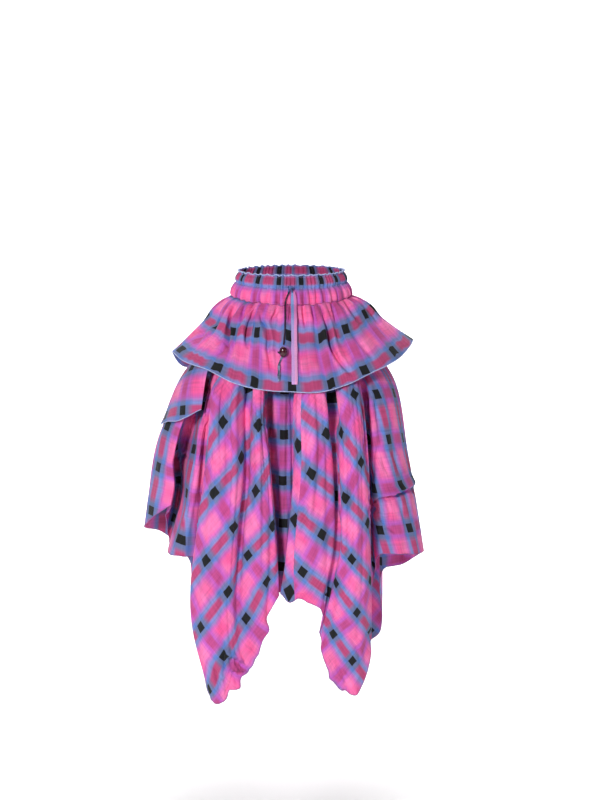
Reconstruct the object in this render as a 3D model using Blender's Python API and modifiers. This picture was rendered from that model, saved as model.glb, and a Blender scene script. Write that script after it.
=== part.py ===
# Handkerchief skirt: gathered waistband, flared peplum, hip flap, pointed lower skirt and drawstring.
# Metres, +Z up. The origin is the middle of the waist opening, at the top edge of the waistband.
# The wearer faces -Y. Words like left and right are those of someone looking at the front.

import math
from collections import namedtuple

import bmesh
import bpy
import numpy as np

MM = 0.001

# Cloth and seams
CLOTH_WALL = 1.2 * MM
BAND_WALL = 2.4 * MM
SEAM_GAP = 0.3 * MM
PANEL_GAP = 0.5 * MM             # a little more, for the lower skirt's walls turn at its seams
SEAM_STRIP = 1.2 * MM
FLAP_SEAM_GAP = 0.6 * MM         # wider, for the panel under that seam is puckered
GATHERS = 36                     # puckers round the waistband and the top of the peplum

# Waist
WAIST_HALF_WIDTH = 122.5 * MM
WAIST_HALF_DEPTH = 95 * MM
BAND_DROP_FRONT = 67 * MM
BAND_DROP_SIDE = 60 * MM
BAND_FLARE = 16 * MM             # how much wider the band's lower edge is than its top, each side

# Peplum and lower skirt
PEPLUM_GATHER = 2.0 * MM
PEPLUM_TOP_DROP = 1.2 * MM       # below the band's edge, so that the leaning walls stay apart
SKIRT_TOP_INSET = 4.6 * MM       # the lower skirt is sewn in just inside the peplum
SKIRT_GATHERS = 18
SKIRT_GATHER = 1.2 * MM
GATHER_FADE = 45 * MM
HIDDEN_SLOPE = np.array([0.42, 0.42, 0.52])  # halfway to the hip the skirt stays inside the peplum
SAMPLES_PER_FOLD = 3
SMALLEST_TURN = 3                # degrees of the waist seam that a fold takes, at least
SKIRT_ROWS = (0, 0.07, 0.15, 0.24, 0.35, 0.47, 0.6, 0.73, 0.85, 0.94, 1)
PEPLUM_ROWS = (0, 0.1, 0.25, 0.45, 0.7, 1)
PEPLUM_COLUMNS = 4 * GATHERS

# Drawstring
CORD_DIAMETER = 4 * MM
TIE_WIDTH = 14 * MM
TIE_THICKNESS = 1.0 * MM
BEAD_SIZE = (18 * MM, 14 * MM, 24 * MM)
KNOT_SIZE = (13 * MM, 9 * MM, 20 * MM)
LAY_GAP = 0.75 * MM              # between the cloth and what lies on it
LAY_REACH = 2.5 * MM             # how far round a place the cloth is felt for
END_GAP = 1.7 * MM               # from the bead to the middle of a cord's end, which leans
KNOT_TO_CORD = np.array([-4.2, 0, -9.4]) * MM
SLOPE_STEP = 8 * MM
LEAN = 1.2                       # the peplum leans out, so its wall is deeper seen along Y

# Colours
PINK = (0.80, 0.09, 0.32)
VIOLET = (0.45, 0.12, 0.45)
BLUE = (0.16, 0.27, 0.55)
MAROON = (0.13, 0.01, 0.04)
NAVY = (0.05, 0.06, 0.14)

# Waistband section, top to bottom: share of the drop, swell and gather depth in millimetres
BandRow = namedtuple("BandRow", "name share swell gather")
BAND_SECTION = (
    BandRow("top edge", 0.00, 0.4, 1.9),
    BandRow("top stitching", 0.09, -0.8, 1.5),
    BandRow("elastic channel", 0.27, 2.4, 1.1),
    BandRow("middle stitching", 0.46, -1.2, 1.9),
    BandRow("loose channel", 0.76, 5.0, 2.2),
    BandRow("seam", 1.00, 1.2, 2.0),
)

# Peplum hem: degrees round from the centre front (right is positive), then x, y, z in millimetres
HemRow = namedtuple("HemRow", "turn x y z")
PEPLUM_HEM = (
    HemRow(-180, 0, 200, -238),
    HemRow(-158, -88, 188, -242),
    HemRow(-134, -196, 142, -247),
    HemRow(-110, -262, 68, -244),
    HemRow(-90, -284, 6, -196),
    HemRow(-70, -250, -97, -200),
    HemRow(-50, -192, -153, -210),
    HemRow(-32, -124, -187, -236),
    HemRow(-15, -60, -202, -247),
    HemRow(0, 2, -207, -250),
    HemRow(15, 62, -203, -252),
    HemRow(32, 122, -188, -239),
    HemRow(50, 188, -156, -214),
    HemRow(70, 250, -104, -192),
    HemRow(90, 290, 4, -166),
    HemRow(110, 268, 64, -206),
    HemRow(134, 192, 144, -226),
    HemRow(158, 86, 188, -235),
)

# How the peplum leaves the seam: share of the cloth, then of its reach outwards and of its drop
SectionRow = namedtuple("SectionRow", "cloth reach drop")
PEPLUM_SECTION = (
    SectionRow(0.00, 0.00, 0.00),
    SectionRow(0.10, 0.14, 0.07),
    SectionRow(0.25, 0.30, 0.22),
    SectionRow(0.45, 0.44, 0.44),
    SectionRow(0.70, 0.68, 0.69),
    SectionRow(1.00, 1.00, 1.00),
)

# Long folds of the peplum: turn at the seam and at the hem, depth and half width in millimetres,
# and the share of the cloth at which each is deepest and has gone
PleatRow = namedtuple("PleatRow", "name turnTop turnHem depth width deepest gone")
PEPLUM_FOLDS = (
    PleatRow("left overlap", -52, -47, 13, 9, 0.55, 1.05),
    PleatRow("left of centre", -25, -27, 8, 7, 0.30, 0.85),
    PleatRow("near the cord", -14, -14, 7, 6, 0.45, 0.80),
    PleatRow("right of the tie", 3, 4, 5, 6, 0.35, 0.80),
    PleatRow("long right fold", 11, 24, 11, 6, 0.45, 1.00),
    PleatRow("right side", 38, 44, 8, 9, 0.25, 0.70),
    PleatRow("far right", 63, 68, 8, 10, 0.30, 0.80),
    PleatRow("far left", -76, -72, 7, 9, 0.35, 0.85),
    PleatRow("back right", 108, 112, 8, 9, 0.35, 0.85),
    PleatRow("back right of centre", 140, 142, 11, 8, 0.45, 0.95),
    PleatRow("centre back", 170, 168, 7, 7, 0.35, 0.80),
    PleatRow("back left of centre", 200, 203, 11, 8, 0.50, 1.00),
    PleatRow("back left", 236, 240, 8, 9, 0.35, 0.85),
)

# Folds of the lower skirt, one row each, from the viewer's left round the front to the back.
# Each level is x, y, z in millimetres: at the hip, at the thigh, near the knee and at the hem.
Fold = namedtuple("Fold", "name hip thigh knee hem")
SIDE_LEFT = (
    Fold("left seam", (-204, 76, -265), (-268, 80, -450), None, (-284, 84, -698)),
    Fold("left back", (-228, 52, -265), (-302, 50, -430), None, (-324, 46, -652)),
    Fold("left lobe side", (-250, -4, -265), (-319, -14, -400), (-346, -18, -545), (-357, -20, -621)),
    Fold("left lobe front", (-224, -84, -265), (-266, -118, -420), (-276, -112, -496), (-300, -96, -564)),
    Fold("left hollow", (-194, -46, -265), (-258, -6, -450), None, (-296, -4, -660)),
    Fold("second lobe edge", (-190, -84, -265), (-242, -142, -450), None, (-291, -122, -659)),
    Fold("second lobe", (-184, -104, -265), (-222, -160, -450), None, (-258, -150, -655)),
    Fold("second lobe turn", (-172, -106, -265), (-204, -148, -450), None, (-224, -136, -664)),
    Fold("left tuck", (-152, -96, -265), (-176, -108, -450), None, (-200, -100, -740)),
)
FRONT_LEFT = (
    Fold("left front seam", (-158, -124, -265), (-182, -148, -450), None, (-212, -122, -880)),
    Fold("left edge", (-178, -152, -265), (-197, -188, -440), (-236, -176, -790), (-196, -150, -1004)),
    Fold("left crest", (-166, -176, -265), (-174, -212, -440), (-204, -204, -800), (-178, -164, -1018)),
    Fold("left pleat", (-148, -170, -265), (-148, -208, -440), (-166, -208, -790), (-154, -172, -1001)),
    Fold("left face", (-127, -184, -265), (-127, -218, -440), (-142, -208, -770), (-130, -176, -968)),
    Fold("left valley", (-102, -150, -265), (-104, -184, -453), (-127, -192, -727), (-106, -176, -932)),
    Fold("second crest", (-82, -194, -265), (-76, -214, -440), (-82, -208, -700), (-72, -190, -862)),
    Fold("second face", (-70, -190, -265), (-58, -206, -440), (-50, -200, -660), (-56, -188, -790)),
    Fold("front left edge", (-63, -176, -265), (-49, -188, -425), (-32, -188, -640), (-29, -184, -735)),
)
CENTRE_FRONT = (
    Fold("front left seam", (-60, -134, -265), (-52, -140, -450), None, (-48, -140, -745)),
    Fold("centre left", (-50, -104, -265), (-48, -112, -450), None, (-50, -116, -752)),
    Fold("centre", (-18, -136, -265), (-18, -142, -450), None, (-18, -138, -748)),
    Fold("centre right", (3, -126, -265), (3, -132, -450), None, (2, -130, -748)),
)
FRONT_RIGHT = (
    Fold("front right seam", (17, -126, -265), (17, -130, -450), None, (14, -130, -746)),
    Fold("strip fold back", (28, -146, -265), (27, -152, -450), None, (20, -154, -744)),
    Fold("strip left edge", (6, -180, -265), (3, -190, -440), (-14, -192, -645), (-26, -186, -734)),
    Fold("strip right edge", (23, -195, -265), (23, -208, -440), (6, -208, -645), (8, -200, -748)),
    Fold("right one crest", (52, -194, -265), (54, -214, -440), (50, -216, -640), (42, -204, -752)),
    Fold("right one inner", (76, -178, -265), (84, -198, -440), (80, -204, -650), (72, -192, -776)),
    Fold("right valley", (92, -134, -265), (104, -170, -440), (101, -186, -650), (65, -176, -852)),
    Fold("right two inner", (112, -174, -265), (119, -202, -440), (116, -206, -700), (82, -174, -916)),
    Fold("right two crest", (133, -184, -265), (142, -214, -440), (144, -210, -740), (116, -168, -980)),
    Fold("right two face", (149, -176, -265), (163, -202, -440), (170, -194, -760), (155, -160, -993)),
    Fold("right edge", (160, -156, -265), (176, -176, -440), (186, -166, -700), (189, -148, -888)),
)
SIDE_RIGHT = (
    Fold("right front seam", (158, -122, -265), (172, -132, -450), None, (182, -106, -800)),
    Fold("right tuck", (160, -88, -265), (176, -82, -450), None, (198, -60, -735)),
    Fold("side edge", (180, -112, -265), (193, -124, -450), None, (208, -112, -664)),
    Fold("side face", (212, -98, -265), (236, -106, -450), None, (258, -94, -668)),
    Fold("side round", (234, -52, -265), (268, -62, -450), None, (304, -58, -678)),
    Fold("right silhouette", (244, -4, -265), (281, -6, -450), None, (322, -8, -686)),
    Fold("right back", (240, 46, -265), (274, 50, -450), None, (306, 60, -722)),
)
BACK_RIGHT = (
    Fold("right back seam", (222, 86, -265), (250, 94, -450), None, (276, 102, -756)),
    Fold("back right tuck", (198, 88, -265), (216, 86, -450), None, (228, 82, -764)),
    Fold("back right edge", (184, 122, -265), (208, 146, -450), (224, 150, -740), (223, 146, -954)),
    Fold("back right crest", (150, 156, -265), (166, 190, -450), (174, 186, -760), (180, 166, -984)),
    Fold("back right valley", (122, 136, -265), (130, 160, -450), (134, 166, -740), (134, 166, -956)),
    Fold("back right face", (98, 171, -265), (98, 200, -450), (94, 198, -720), (84, 186, -872)),
    Fold("back right inner", (66, 170, -265), (62, 188, -450), (52, 186, -640), (42, 182, -745)),
    Fold("back centre right", (46, 132, -265), (46, 144, -450), None, (46, 148, -735)),
)
BACK_LEFT = (
    Fold("centre back seam", (0, 154, -265), (0, 166, -450), None, (0, 168, -730)),
    Fold("back centre left", (-48, 132, -265), (-48, 144, -450), None, (-48, 148, -738)),
    Fold("back left inner", (-68, 171, -265), (-66, 190, -450), (-54, 188, -650), (-46, 184, -752)),
    Fold("back left face", (-102, 171, -265), (-104, 200, -450), (-102, 198, -730), (-94, 186, -880)),
    Fold("back left valley", (-126, 136, -265), (-138, 162, -450), (-144, 168, -740), (-140, 166, -958)),
    Fold("back left crest", (-154, 156, -265), (-178, 186, -450), (-192, 184, -760), (-186, 164, -988)),
    Fold("back left edge", (-186, 118, -265), (-224, 138, -450), (-252, 134, -770), (-236, 140, -936)),
    Fold("back left tuck", (-194, 82, -265), (-232, 82, -450), None, (-250, 78, -752)),
)
PANELS = (
    ("skirt_side_left", SIDE_LEFT, PINK),
    ("skirt_front_left", FRONT_LEFT, PINK),
    ("skirt_centre_front", CENTRE_FRONT, VIOLET),
    ("skirt_front_right", FRONT_RIGHT, PINK),
    ("skirt_side_right", SIDE_RIGHT, VIOLET),
    ("skirt_back_right", BACK_RIGHT, PINK),
    ("skirt_back_left", BACK_LEFT, PINK),
)

# Hip flap, from its back edge round to its front edge: a row for each fold of the side panel that
# carries it, with x, y, z at the middle and at the hem in millimetres
FlapRow = namedtuple("FlapRow", "name middle hem")
FLAP_LEVEL = 2                   # the row of SKIRT_ROWS that it is sewn along
FLAP_ROWS = (0, 0.15, 0.35, 0.55, 0.78, 1)
HIP_FLAP = (
    FlapRow("back edge", (-236, 66, -236), (-284, 84, -352)),
    FlapRow("back face", (-250, 34, -240), (-306, 44, -362)),
    FlapRow("silhouette", (-258, -12, -246), (-313, -8, -369)),
    FlapRow("front round", (-244, -72, -232), (-288, -88, -340)),
    FlapRow("square", (-224, -106, -222), (-264, -122, -326)),
    FlapRow("front face", (-206, -122, -214), (-238, -144, -312)),
    FlapRow("front edge", (-190, -132, -208), (-207, -148, -303)),
)

# The drawstring's routes: x and z in millimetres on the front of the skirt
LEFT_CORD_ROUTE = ((-11, -50), (-14, -60), (-14, -68), (-14, -79), (-14, -100), (-14.5, -120), (-16, -137))
BEAD_PLACE = (-18, -164)
TAIL_ROUTE = ((-25, -192), (-27, -199), (-28, -211), (-27, -225))
TIE_ROUTE = (
    (5, -40.5), (5.5, -52), (6, -66), (6.2, -79), (6.5, -92),
    (6.5, -110), (7, -140), (7.5, -180), (8, -234),
)
KNOT_PLACE = (-2, -30.5)


def clear_scene():
    for thing in list(bpy.data.objects):
        bpy.data.objects.remove(thing, do_unlink=True)


def cloth_material(name, colour, roughness=0.85):
    material = bpy.data.materials.new(name)
    material.use_nodes = True
    shader = material.node_tree.nodes["Principled BSDF"]
    shader.inputs["Base Color"].default_value = (*colour, 1)
    shader.inputs["Roughness"].default_value = roughness
    shader.inputs["Metallic"].default_value = 0
    return material


def slopes(points, closed):
    """The steps between points and the tangents of a smooth curve through them."""
    after = np.roll(points, -1, axis=0)
    steps = np.sqrt(np.maximum(np.linalg.norm(after - points, axis=1), 1e-9))
    chord = (after - points) / steps[:, None]
    before_steps = np.roll(steps, 1)[:, None]
    before_chord = np.roll(chord, 1, axis=0)
    here = steps[:, None]
    tangents = (before_chord * here + chord * before_steps) / (here + before_steps)
    if not closed:
        tangents[0] = chord[0]
        tangents[-1] = before_chord[-1]
    return steps, tangents


def curve_through(points, places, closed=False):
    """Points of a smooth curve at the places given, 0 being the first point and 1 the second."""
    points = np.asarray(points, float)
    count = len(points)
    steps, tangents = slopes(points, closed)
    result = []
    for place in places:
        start = int(math.floor(place))
        if not closed:
            start = min(max(start, 0), count - 2)
        u = place - start
        a, b = start % count, (start + 1) % count
        h = steps[a]
        result.append(
            (2 * u**3 - 3 * u**2 + 1) * points[a]
            + (u**3 - 2 * u**2 + u) * h * tangents[a]
            + (3 * u**2 - 2 * u**3) * points[b]
            + (u**3 - u**2) * h * tangents[b]
        )
    return np.array(result)


def spread_along(points, shares):
    """Points at these shares of the length of a smooth curve through points."""
    fine = curve_through(points, np.linspace(0, len(points) - 1, 30 * len(points)))
    run = np.concatenate([[0], np.cumsum(np.linalg.norm(np.diff(fine, axis=0), axis=1))])
    return np.array([[np.interp(s * run[-1], run, fine[:, k]) for k in range(3)] for s in shares])


def on_oval(turn, half_width, half_depth):
    """A point of the oval round the waist, turn degrees from the centre front."""
    angle = math.radians(turn)
    return half_width * math.sin(angle), -half_depth * math.cos(angle)


def oval_out(turn):
    """The outward direction there, as x, y, z."""
    angle = math.radians(turn)
    out = np.array([math.sin(angle) / WAIST_HALF_WIDTH, -math.cos(angle) / WAIST_HALF_DEPTH, 0])
    return out / np.linalg.norm(out)


def gather_wave(turn, count=GATHERS):
    """The puckers, from -1 to 1, a little uneven round the waist."""
    angle = math.radians(turn)
    return math.sin(count * angle) * (0.82 + 0.18 * math.sin(3 * angle + 1))


def seam_height(turn):
    angle = math.radians(turn)
    side = math.sin(angle) ** 2
    return -(BAND_DROP_FRONT + (BAND_DROP_SIDE - BAND_DROP_FRONT) * side)


def seam_point(turn):
    """The lower edge of the waistband, without its puckers."""
    x, y = on_oval(turn, WAIST_HALF_WIDTH + BAND_FLARE, WAIST_HALF_DEPTH + 0.7 * BAND_FLARE)
    return np.array([x, y, seam_height(turn)])


def band_point(turn, share, swell, gather):
    flare = BAND_FLARE * share
    x, y = on_oval(turn, WAIST_HALF_WIDTH + flare, WAIST_HALF_DEPTH + 0.7 * flare)
    out = swell * MM + gather * MM * gather_wave(turn)
    return np.array([x, y, seam_height(turn) * share]) + oval_out(turn) * out


def shell(name, grid, wall, colour, collection, closed=False):
    """A sheet through the grid of points, rows downwards, given its wall by Solidify."""
    if closed:
        grid = np.concatenate([grid, grid[:, :1]], axis=1)
    rows, columns = grid.shape[:2]
    sheet = bmesh.new()
    bmesh.ops.create_grid(sheet, x_segments=columns - 1, y_segments=rows - 1, size=1)
    for vertex in sheet.verts:
        column = round((vertex.co.x + 1) / 2 * (columns - 1))
        row = round((1 - vertex.co.y) / 2 * (rows - 1))
        vertex.co = grid[row, column]
    if closed:
        bmesh.ops.remove_doubles(sheet, verts=sheet.verts, dist=0.01 * MM)
    mesh = bpy.data.meshes.new(name)
    sheet.to_mesh(mesh)
    sheet.free()
    mesh.shade_smooth()
    mesh.materials.append(cloth_material(name, colour))
    piece = bpy.data.objects.new(name, mesh)
    collection.objects.link(piece)
    solid = piece.modifiers.new("Wall", "SOLIDIFY")
    solid.thickness = wall
    solid.offset = 0
    solid.use_quality_normals = True


def cut_panel(ring, first, last):
    """The columns of the ring from first to last. Each side edge is drawn in by half the seam's gap,
    with a narrow strip beside it that lies flat across the seam, so that the walls of neighbours
    end square to each other."""
    count = ring.shape[1]
    seams = []
    for column in (first, last):
        across = ring[:, (column + 1) % count] - ring[:, (column - 1) % count]
        seams.append((ring[:, column % count], across / np.linalg.norm(across, axis=1)[:, None]))
    (start, start_across), (end, end_across) = seams
    left = [start + start_across * PANEL_GAP / 2, start + start_across * SEAM_STRIP]
    right = [end - end_across * SEAM_STRIP, end - end_across * PANEL_GAP / 2]
    middle = [ring[:, column % count] for column in range(first + 1, last)]
    return np.array([*left, *middle, *right]).swapaxes(0, 1)


def make_waistband(collection):
    turns = np.linspace(-180, 180, 4 * GATHERS, endpoint=False)
    grid = [[band_point(t, row.share, row.swell, row.gather) for t in turns] for row in BAND_SECTION]
    shell("waistband", np.array(grid), BAND_WALL, BLUE, collection, closed=True)


def peplum_hem(turn):
    """The hem at this turn, from the hem table, which runs on round the back."""
    turns = [row.turn for row in PEPLUM_HEM] + [PEPLUM_HEM[0].turn + 360]
    turn = (turn + 180) % 360 - 180
    place = np.interp(turn, turns, range(len(turns)))
    points = [(row.x * MM, row.y * MM, row.z * MM) for row in PEPLUM_HEM]
    return curve_through(points, [place], closed=True)[0]


def fold_depth(turn, share):
    """How far the peplum is sunk here by its long folds."""
    depth = 0
    for fold in PEPLUM_FOLDS:
        centre = fold.turnTop + (fold.turnHem - fold.turnTop) * share
        away = (turn - centre + 180) % 360 - 180
        if share <= fold.deepest:
            strength = 0.35 + 0.65 * share / fold.deepest
        else:
            strength = max(0.0, 1 - (share - fold.deepest) / (fold.gone - fold.deepest))
        depth += fold.depth * MM * strength * math.exp(-((away / fold.width) ** 2))
    return depth


def peplum_point(turn, share):
    """A point of the peplum: turn degrees from the centre front, share of the way to the hem."""
    start = seam_point(turn) - np.array([0, 0, PEPLUM_TOP_DROP]) + oval_out(turn) * 0.6 * MM
    end = peplum_hem(turn)
    clothes = [row.cloth for row in PEPLUM_SECTION]
    reach = np.interp(share, clothes, [row.reach for row in PEPLUM_SECTION])
    drop = np.interp(share, clothes, [row.drop for row in PEPLUM_SECTION])
    point = start + (end - start) * np.array([reach, reach, drop])
    pucker = PEPLUM_GATHER * gather_wave(turn) * max(0.0, 1 - share / 0.6)
    sunk = fold_depth(turn, share) * min(1.0, share / 0.2)
    return point + oval_out(turn) * (pucker - sunk)


def make_peplum(name, first_turn, last_turn, collection):
    turns = np.arange(PEPLUM_COLUMNS) * 360 / PEPLUM_COLUMNS
    ring = np.array([[peplum_point(t, share) for t in turns] for share in PEPLUM_ROWS])
    first, last = (round(turn * PEPLUM_COLUMNS / 360) for turn in (first_turn, last_turn))
    shell(name, cut_panel(ring, first, last), CLOTH_WALL, PINK, collection)


def fold_turns(rows):
    """Where each fold starts on the waist seam: by its bearing, its share of the cloth and its number."""
    hips = np.array([row.hip[:2] for row in rows], float)
    bearing = np.arctan2(hips[:, 0] / WAIST_HALF_WIDTH, -hips[:, 1] / WAIST_HALF_DEPTH)
    bearing = np.degrees(np.unwrap(bearing))
    steps = np.linalg.norm(np.roll(hips, -1, axis=0) - hips, axis=1)
    run = np.concatenate([[0], np.cumsum(steps)[:-1]]) / steps.sum() * 360
    even = np.arange(len(rows)) * 360 / len(rows)
    shared = run + (bearing - run).mean()
    spaced = even + (bearing - even).mean()
    turns = (bearing + shared + spaced) / 3
    for i in range(1, len(turns)):
        turns[i] = max(turns[i], turns[i - 1] + SMALLEST_TURN)
    return turns


def skirt_ring():
    """The whole lower skirt as one grid: a row for each level, a column for each sample."""
    rows = [row for _, panel, _ in PANELS for row in panel]
    turns = fold_turns(rows)
    hips = np.array([row.hip for row in rows]) * MM
    softened = (np.roll(hips, 1, axis=0) + 2 * hips + np.roll(hips, -1, axis=0)) / 4
    lines = []
    for row, turn, hip in zip(rows, turns, softened):
        top = seam_point(turn) - oval_out(turn) * SKIRT_TOP_INSET - np.array([0, 0, SEAM_GAP])
        fallen_to = [np.array(p) * MM for p in (row.hip, row.thigh, row.knee, row.hem) if p]
        under_peplum = top + (hip - top) * HIDDEN_SLOPE
        lines.append(spread_along([top, under_peplum, *fallen_to], SKIRT_ROWS))
    lines = np.array(lines)
    places = np.arange(len(rows) * SAMPLES_PER_FOLD) / SAMPLES_PER_FOLD
    around = np.interp(places, range(len(rows) + 1), [*turns, turns[0] + 360])
    levels = range(len(SKIRT_ROWS))
    grid = np.array([curve_through(lines[:, level], places, closed=True) for level in levels])
    for column, turn in enumerate(around):
        for level in levels:
            fallen = grid[0, column, 2] - grid[level, column, 2]
            fade = math.exp(-fallen / GATHER_FADE)
            grid[level, column] += oval_out(turn) * SKIRT_GATHER * fade * gather_wave(turn, SKIRT_GATHERS)
    return grid


def make_skirt(grid, collection):
    start = 0
    for name, panel, colour in PANELS:
        end = start + len(panel) * SAMPLES_PER_FOLD
        shell(name, cut_panel(grid, start, end), CLOTH_WALL, colour, collection)
        start = end


def make_hip_flap(grid, collection):
    """The flap hangs from the side panel: its top edge is that panel's points moved out."""
    columns = np.arange((len(HIP_FLAP) - 1) * SAMPLES_PER_FOLD + 1)
    across = grid[FLAP_LEVEL, columns + 1] - grid[FLAP_LEVEL, columns - 1]
    down = grid[FLAP_LEVEL + 1, columns] - grid[FLAP_LEVEL, columns]
    out = np.cross(down, across)
    out /= np.linalg.norm(out, axis=1)[:, None]
    top = grid[FLAP_LEVEL, columns] + out * (CLOTH_WALL + FLAP_SEAM_GAP)
    places = columns / SAMPLES_PER_FOLD
    middle = curve_through([np.array(row.middle) * MM for row in HIP_FLAP], places)
    hem = curve_through([np.array(row.hem) * MM for row in HIP_FLAP], places)
    lines = [spread_along(levels, FLAP_ROWS) for levels in zip(top, middle, hem)]
    shell("hip_flap", np.array(lines).swapaxes(0, 1), CLOTH_WALL, PINK, collection)


def front_points():
    """Points all over the front of the band and of the peplum, moved out by half their walls."""
    turns = np.arange(-27, 27.1, 360 / PEPLUM_COLUMNS)
    band_out = BAND_WALL / MM / 2 * LEAN
    band = [
        [band_point(t, row.share, row.swell + band_out, row.gather) for t in turns]
        for row in BAND_SECTION
    ]
    out = np.array([0, CLOTH_WALL / 2 * LEAN, 0])
    peplum = [[peplum_point(t, share) - out for t in turns] for share in PEPLUM_ROWS]
    points = []
    for grid in (np.array(band), np.array(peplum)):
        for part in np.linspace(0, 1, 25):
            rows = grid[:-1] * (1 - part) + grid[1:] * part
            points.append(rows.reshape(-1, 3))
            points.append(((rows[:, :-1] + rows[:, 1:]) / 2).reshape(-1, 3))
    return np.concatenate(points)


def cloth_at(front, x, z, half_width):
    """How far forward the cloth comes at x, z, across a piece this wide."""
    near = (abs(front[:, 0] - x) < half_width + LAY_REACH) & (abs(front[:, 2] - z) < LAY_REACH)
    return front[near, 1].min()


def in_front(front, x, z, half_sizes):
    """Where the centre of a piece with these half sizes lies at x, z, just clear of the sloping cloth."""
    y = cloth_at(front, x, z, half_sizes[0])
    slope = (cloth_at(front, x, z + SLOPE_STEP, half_sizes[0]) - y) / SLOPE_STEP
    return np.array([x, y - math.hypot(half_sizes[1], half_sizes[2] * slope) - LAY_GAP, z])


def laid_route(front, route, half_sizes, count, before=(), after=()):
    """A smooth route over the front of the skirt, with the points of a table between the ends given."""
    points = [in_front(front, x * MM, z * MM, half_sizes) for x, z in route]
    return spread_along([*before, *points, *after], np.linspace(0, 1, count))


def make_cord(name, points, diameter, colour, collection):
    curve = bpy.data.curves.new(name, "CURVE")
    curve.dimensions = "3D"
    curve.bevel_depth = diameter / 2
    curve.bevel_resolution = 2
    curve.use_fill_caps = True
    line = curve.splines.new("POLY")
    line.points.add(len(points) - 1)
    for place, point in zip(line.points, points):
        place.co = (*point, 1)
    curve.materials.append(cloth_material(name, colour))
    cord = bpy.data.objects.new(name, curve)
    collection.objects.link(cord)


def make_lump(name, centre, size, colour, roughness, collection):
    """An egg-shaped piece on the drawstring."""
    ball = bmesh.new()
    bmesh.ops.create_uvsphere(ball, u_segments=16, v_segments=10, radius=0.5)
    for vertex in ball.verts:
        vertex.co = [centre[k] + vertex.co[k] * size[k] for k in range(3)]
    mesh = bpy.data.meshes.new(name)
    ball.to_mesh(mesh)
    ball.free()
    mesh.shade_smooth()
    mesh.materials.append(cloth_material(name, colour, roughness))
    lump = bpy.data.objects.new(name, mesh)
    collection.objects.link(lump)


def make_drawstring(collection):
    front = front_points()
    knot = in_front(front, KNOT_PLACE[0] * MM, KNOT_PLACE[1] * MM, np.array(KNOT_SIZE) / 2)
    make_lump("drawstring_knot", knot, KNOT_SIZE, NAVY, 0.7, collection)
    bead = in_front(front, BEAD_PLACE[0] * MM, BEAD_PLACE[1] * MM, np.array(BEAD_SIZE) / 2)
    make_lump("drawstring_bead", bead, BEAD_SIZE, MAROON, 0.2, collection)
    to_end = np.array([0, 0, BEAD_SIZE[2] / 2 + END_GAP])
    cord_half = (CORD_DIAMETER / 2,) * 3
    from_knot = [knot + KNOT_TO_CORD]
    cord = laid_route(front, LEFT_CORD_ROUTE, cord_half, 15, before=from_knot, after=[bead + to_end])
    make_cord("drawstring_left", cord, CORD_DIAMETER, MAROON, collection)
    tail = laid_route(front, TAIL_ROUTE, cord_half, 8, before=[bead - to_end])
    make_cord("drawstring_tail", tail, CORD_DIAMETER, NAVY, collection)
    tie_half = (TIE_WIDTH / 2, TIE_THICKNESS / 2, TIE_THICKNESS / 2)
    middle = laid_route(front, TIE_ROUTE, tie_half, 18)
    half = np.array([TIE_WIDTH / 2, 0, 0])
    strip = np.array([[point - half, point, point + half] for point in middle])
    shell("drawstring_right", strip, TIE_THICKNESS, VIOLET, collection)


def main():
    clear_scene()
    collection = bpy.data.collections.new("handkerchief_skirt")
    bpy.context.scene.collection.children.link(collection)
    make_waistband(collection)
    make_peplum("peplum_front", -90, 90, collection)
    make_peplum("peplum_back", 90, 270, collection)
    grid = skirt_ring()
    make_skirt(grid, collection)
    make_hip_flap(grid, collection)
    make_drawstring(collection)


main()
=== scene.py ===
# Handkerchief skirt in a woven check: gathered waistband, flared peplum, hip flap, pointed lower
# skirt and drawstring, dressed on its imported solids. Metres, +Z up, and the wearer faces -Y.
# Left and right are those of someone looking at the front. Turns are degrees round the waist
# from the centre front, to the right.

import math
from collections import namedtuple

import bmesh
import bpy
import numpy as np
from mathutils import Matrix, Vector


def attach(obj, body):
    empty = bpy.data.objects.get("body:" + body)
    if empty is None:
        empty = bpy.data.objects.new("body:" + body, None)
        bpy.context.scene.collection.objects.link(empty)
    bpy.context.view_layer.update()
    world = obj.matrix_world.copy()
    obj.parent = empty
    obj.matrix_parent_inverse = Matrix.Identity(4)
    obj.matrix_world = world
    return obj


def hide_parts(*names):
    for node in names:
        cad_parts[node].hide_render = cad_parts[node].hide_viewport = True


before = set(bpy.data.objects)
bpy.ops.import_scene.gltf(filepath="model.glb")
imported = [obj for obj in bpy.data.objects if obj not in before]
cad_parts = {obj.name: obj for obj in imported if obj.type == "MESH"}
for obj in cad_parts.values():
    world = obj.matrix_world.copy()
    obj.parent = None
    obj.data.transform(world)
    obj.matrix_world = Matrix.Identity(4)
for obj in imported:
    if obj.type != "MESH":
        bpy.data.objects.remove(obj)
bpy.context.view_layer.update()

mm = 0.001

# camera, as the photograph was taken

camera = {
    "eye": (0.020, -3.70, 0.474),
    "tiltDown": 12,
    "lens": 71.2,
    "film": 36,           # along the frame's height
    "frameWidth": 600,
    "frameHeight": 800,
    "farthest": 60,
}


def placeCamera():
    lens = bpy.data.cameras.new("Camera")
    lens.lens = camera["lens"]
    lens.sensor_width = camera["film"]
    lens.clip_end = camera["farthest"]
    eye = bpy.data.objects.new("Camera", lens)
    eye.location = camera["eye"]
    eye.rotation_euler = (math.radians(90 - camera["tiltDown"]), 0, 0)
    bpy.context.scene.collection.objects.link(eye)
    bpy.context.scene.camera = eye


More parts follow.
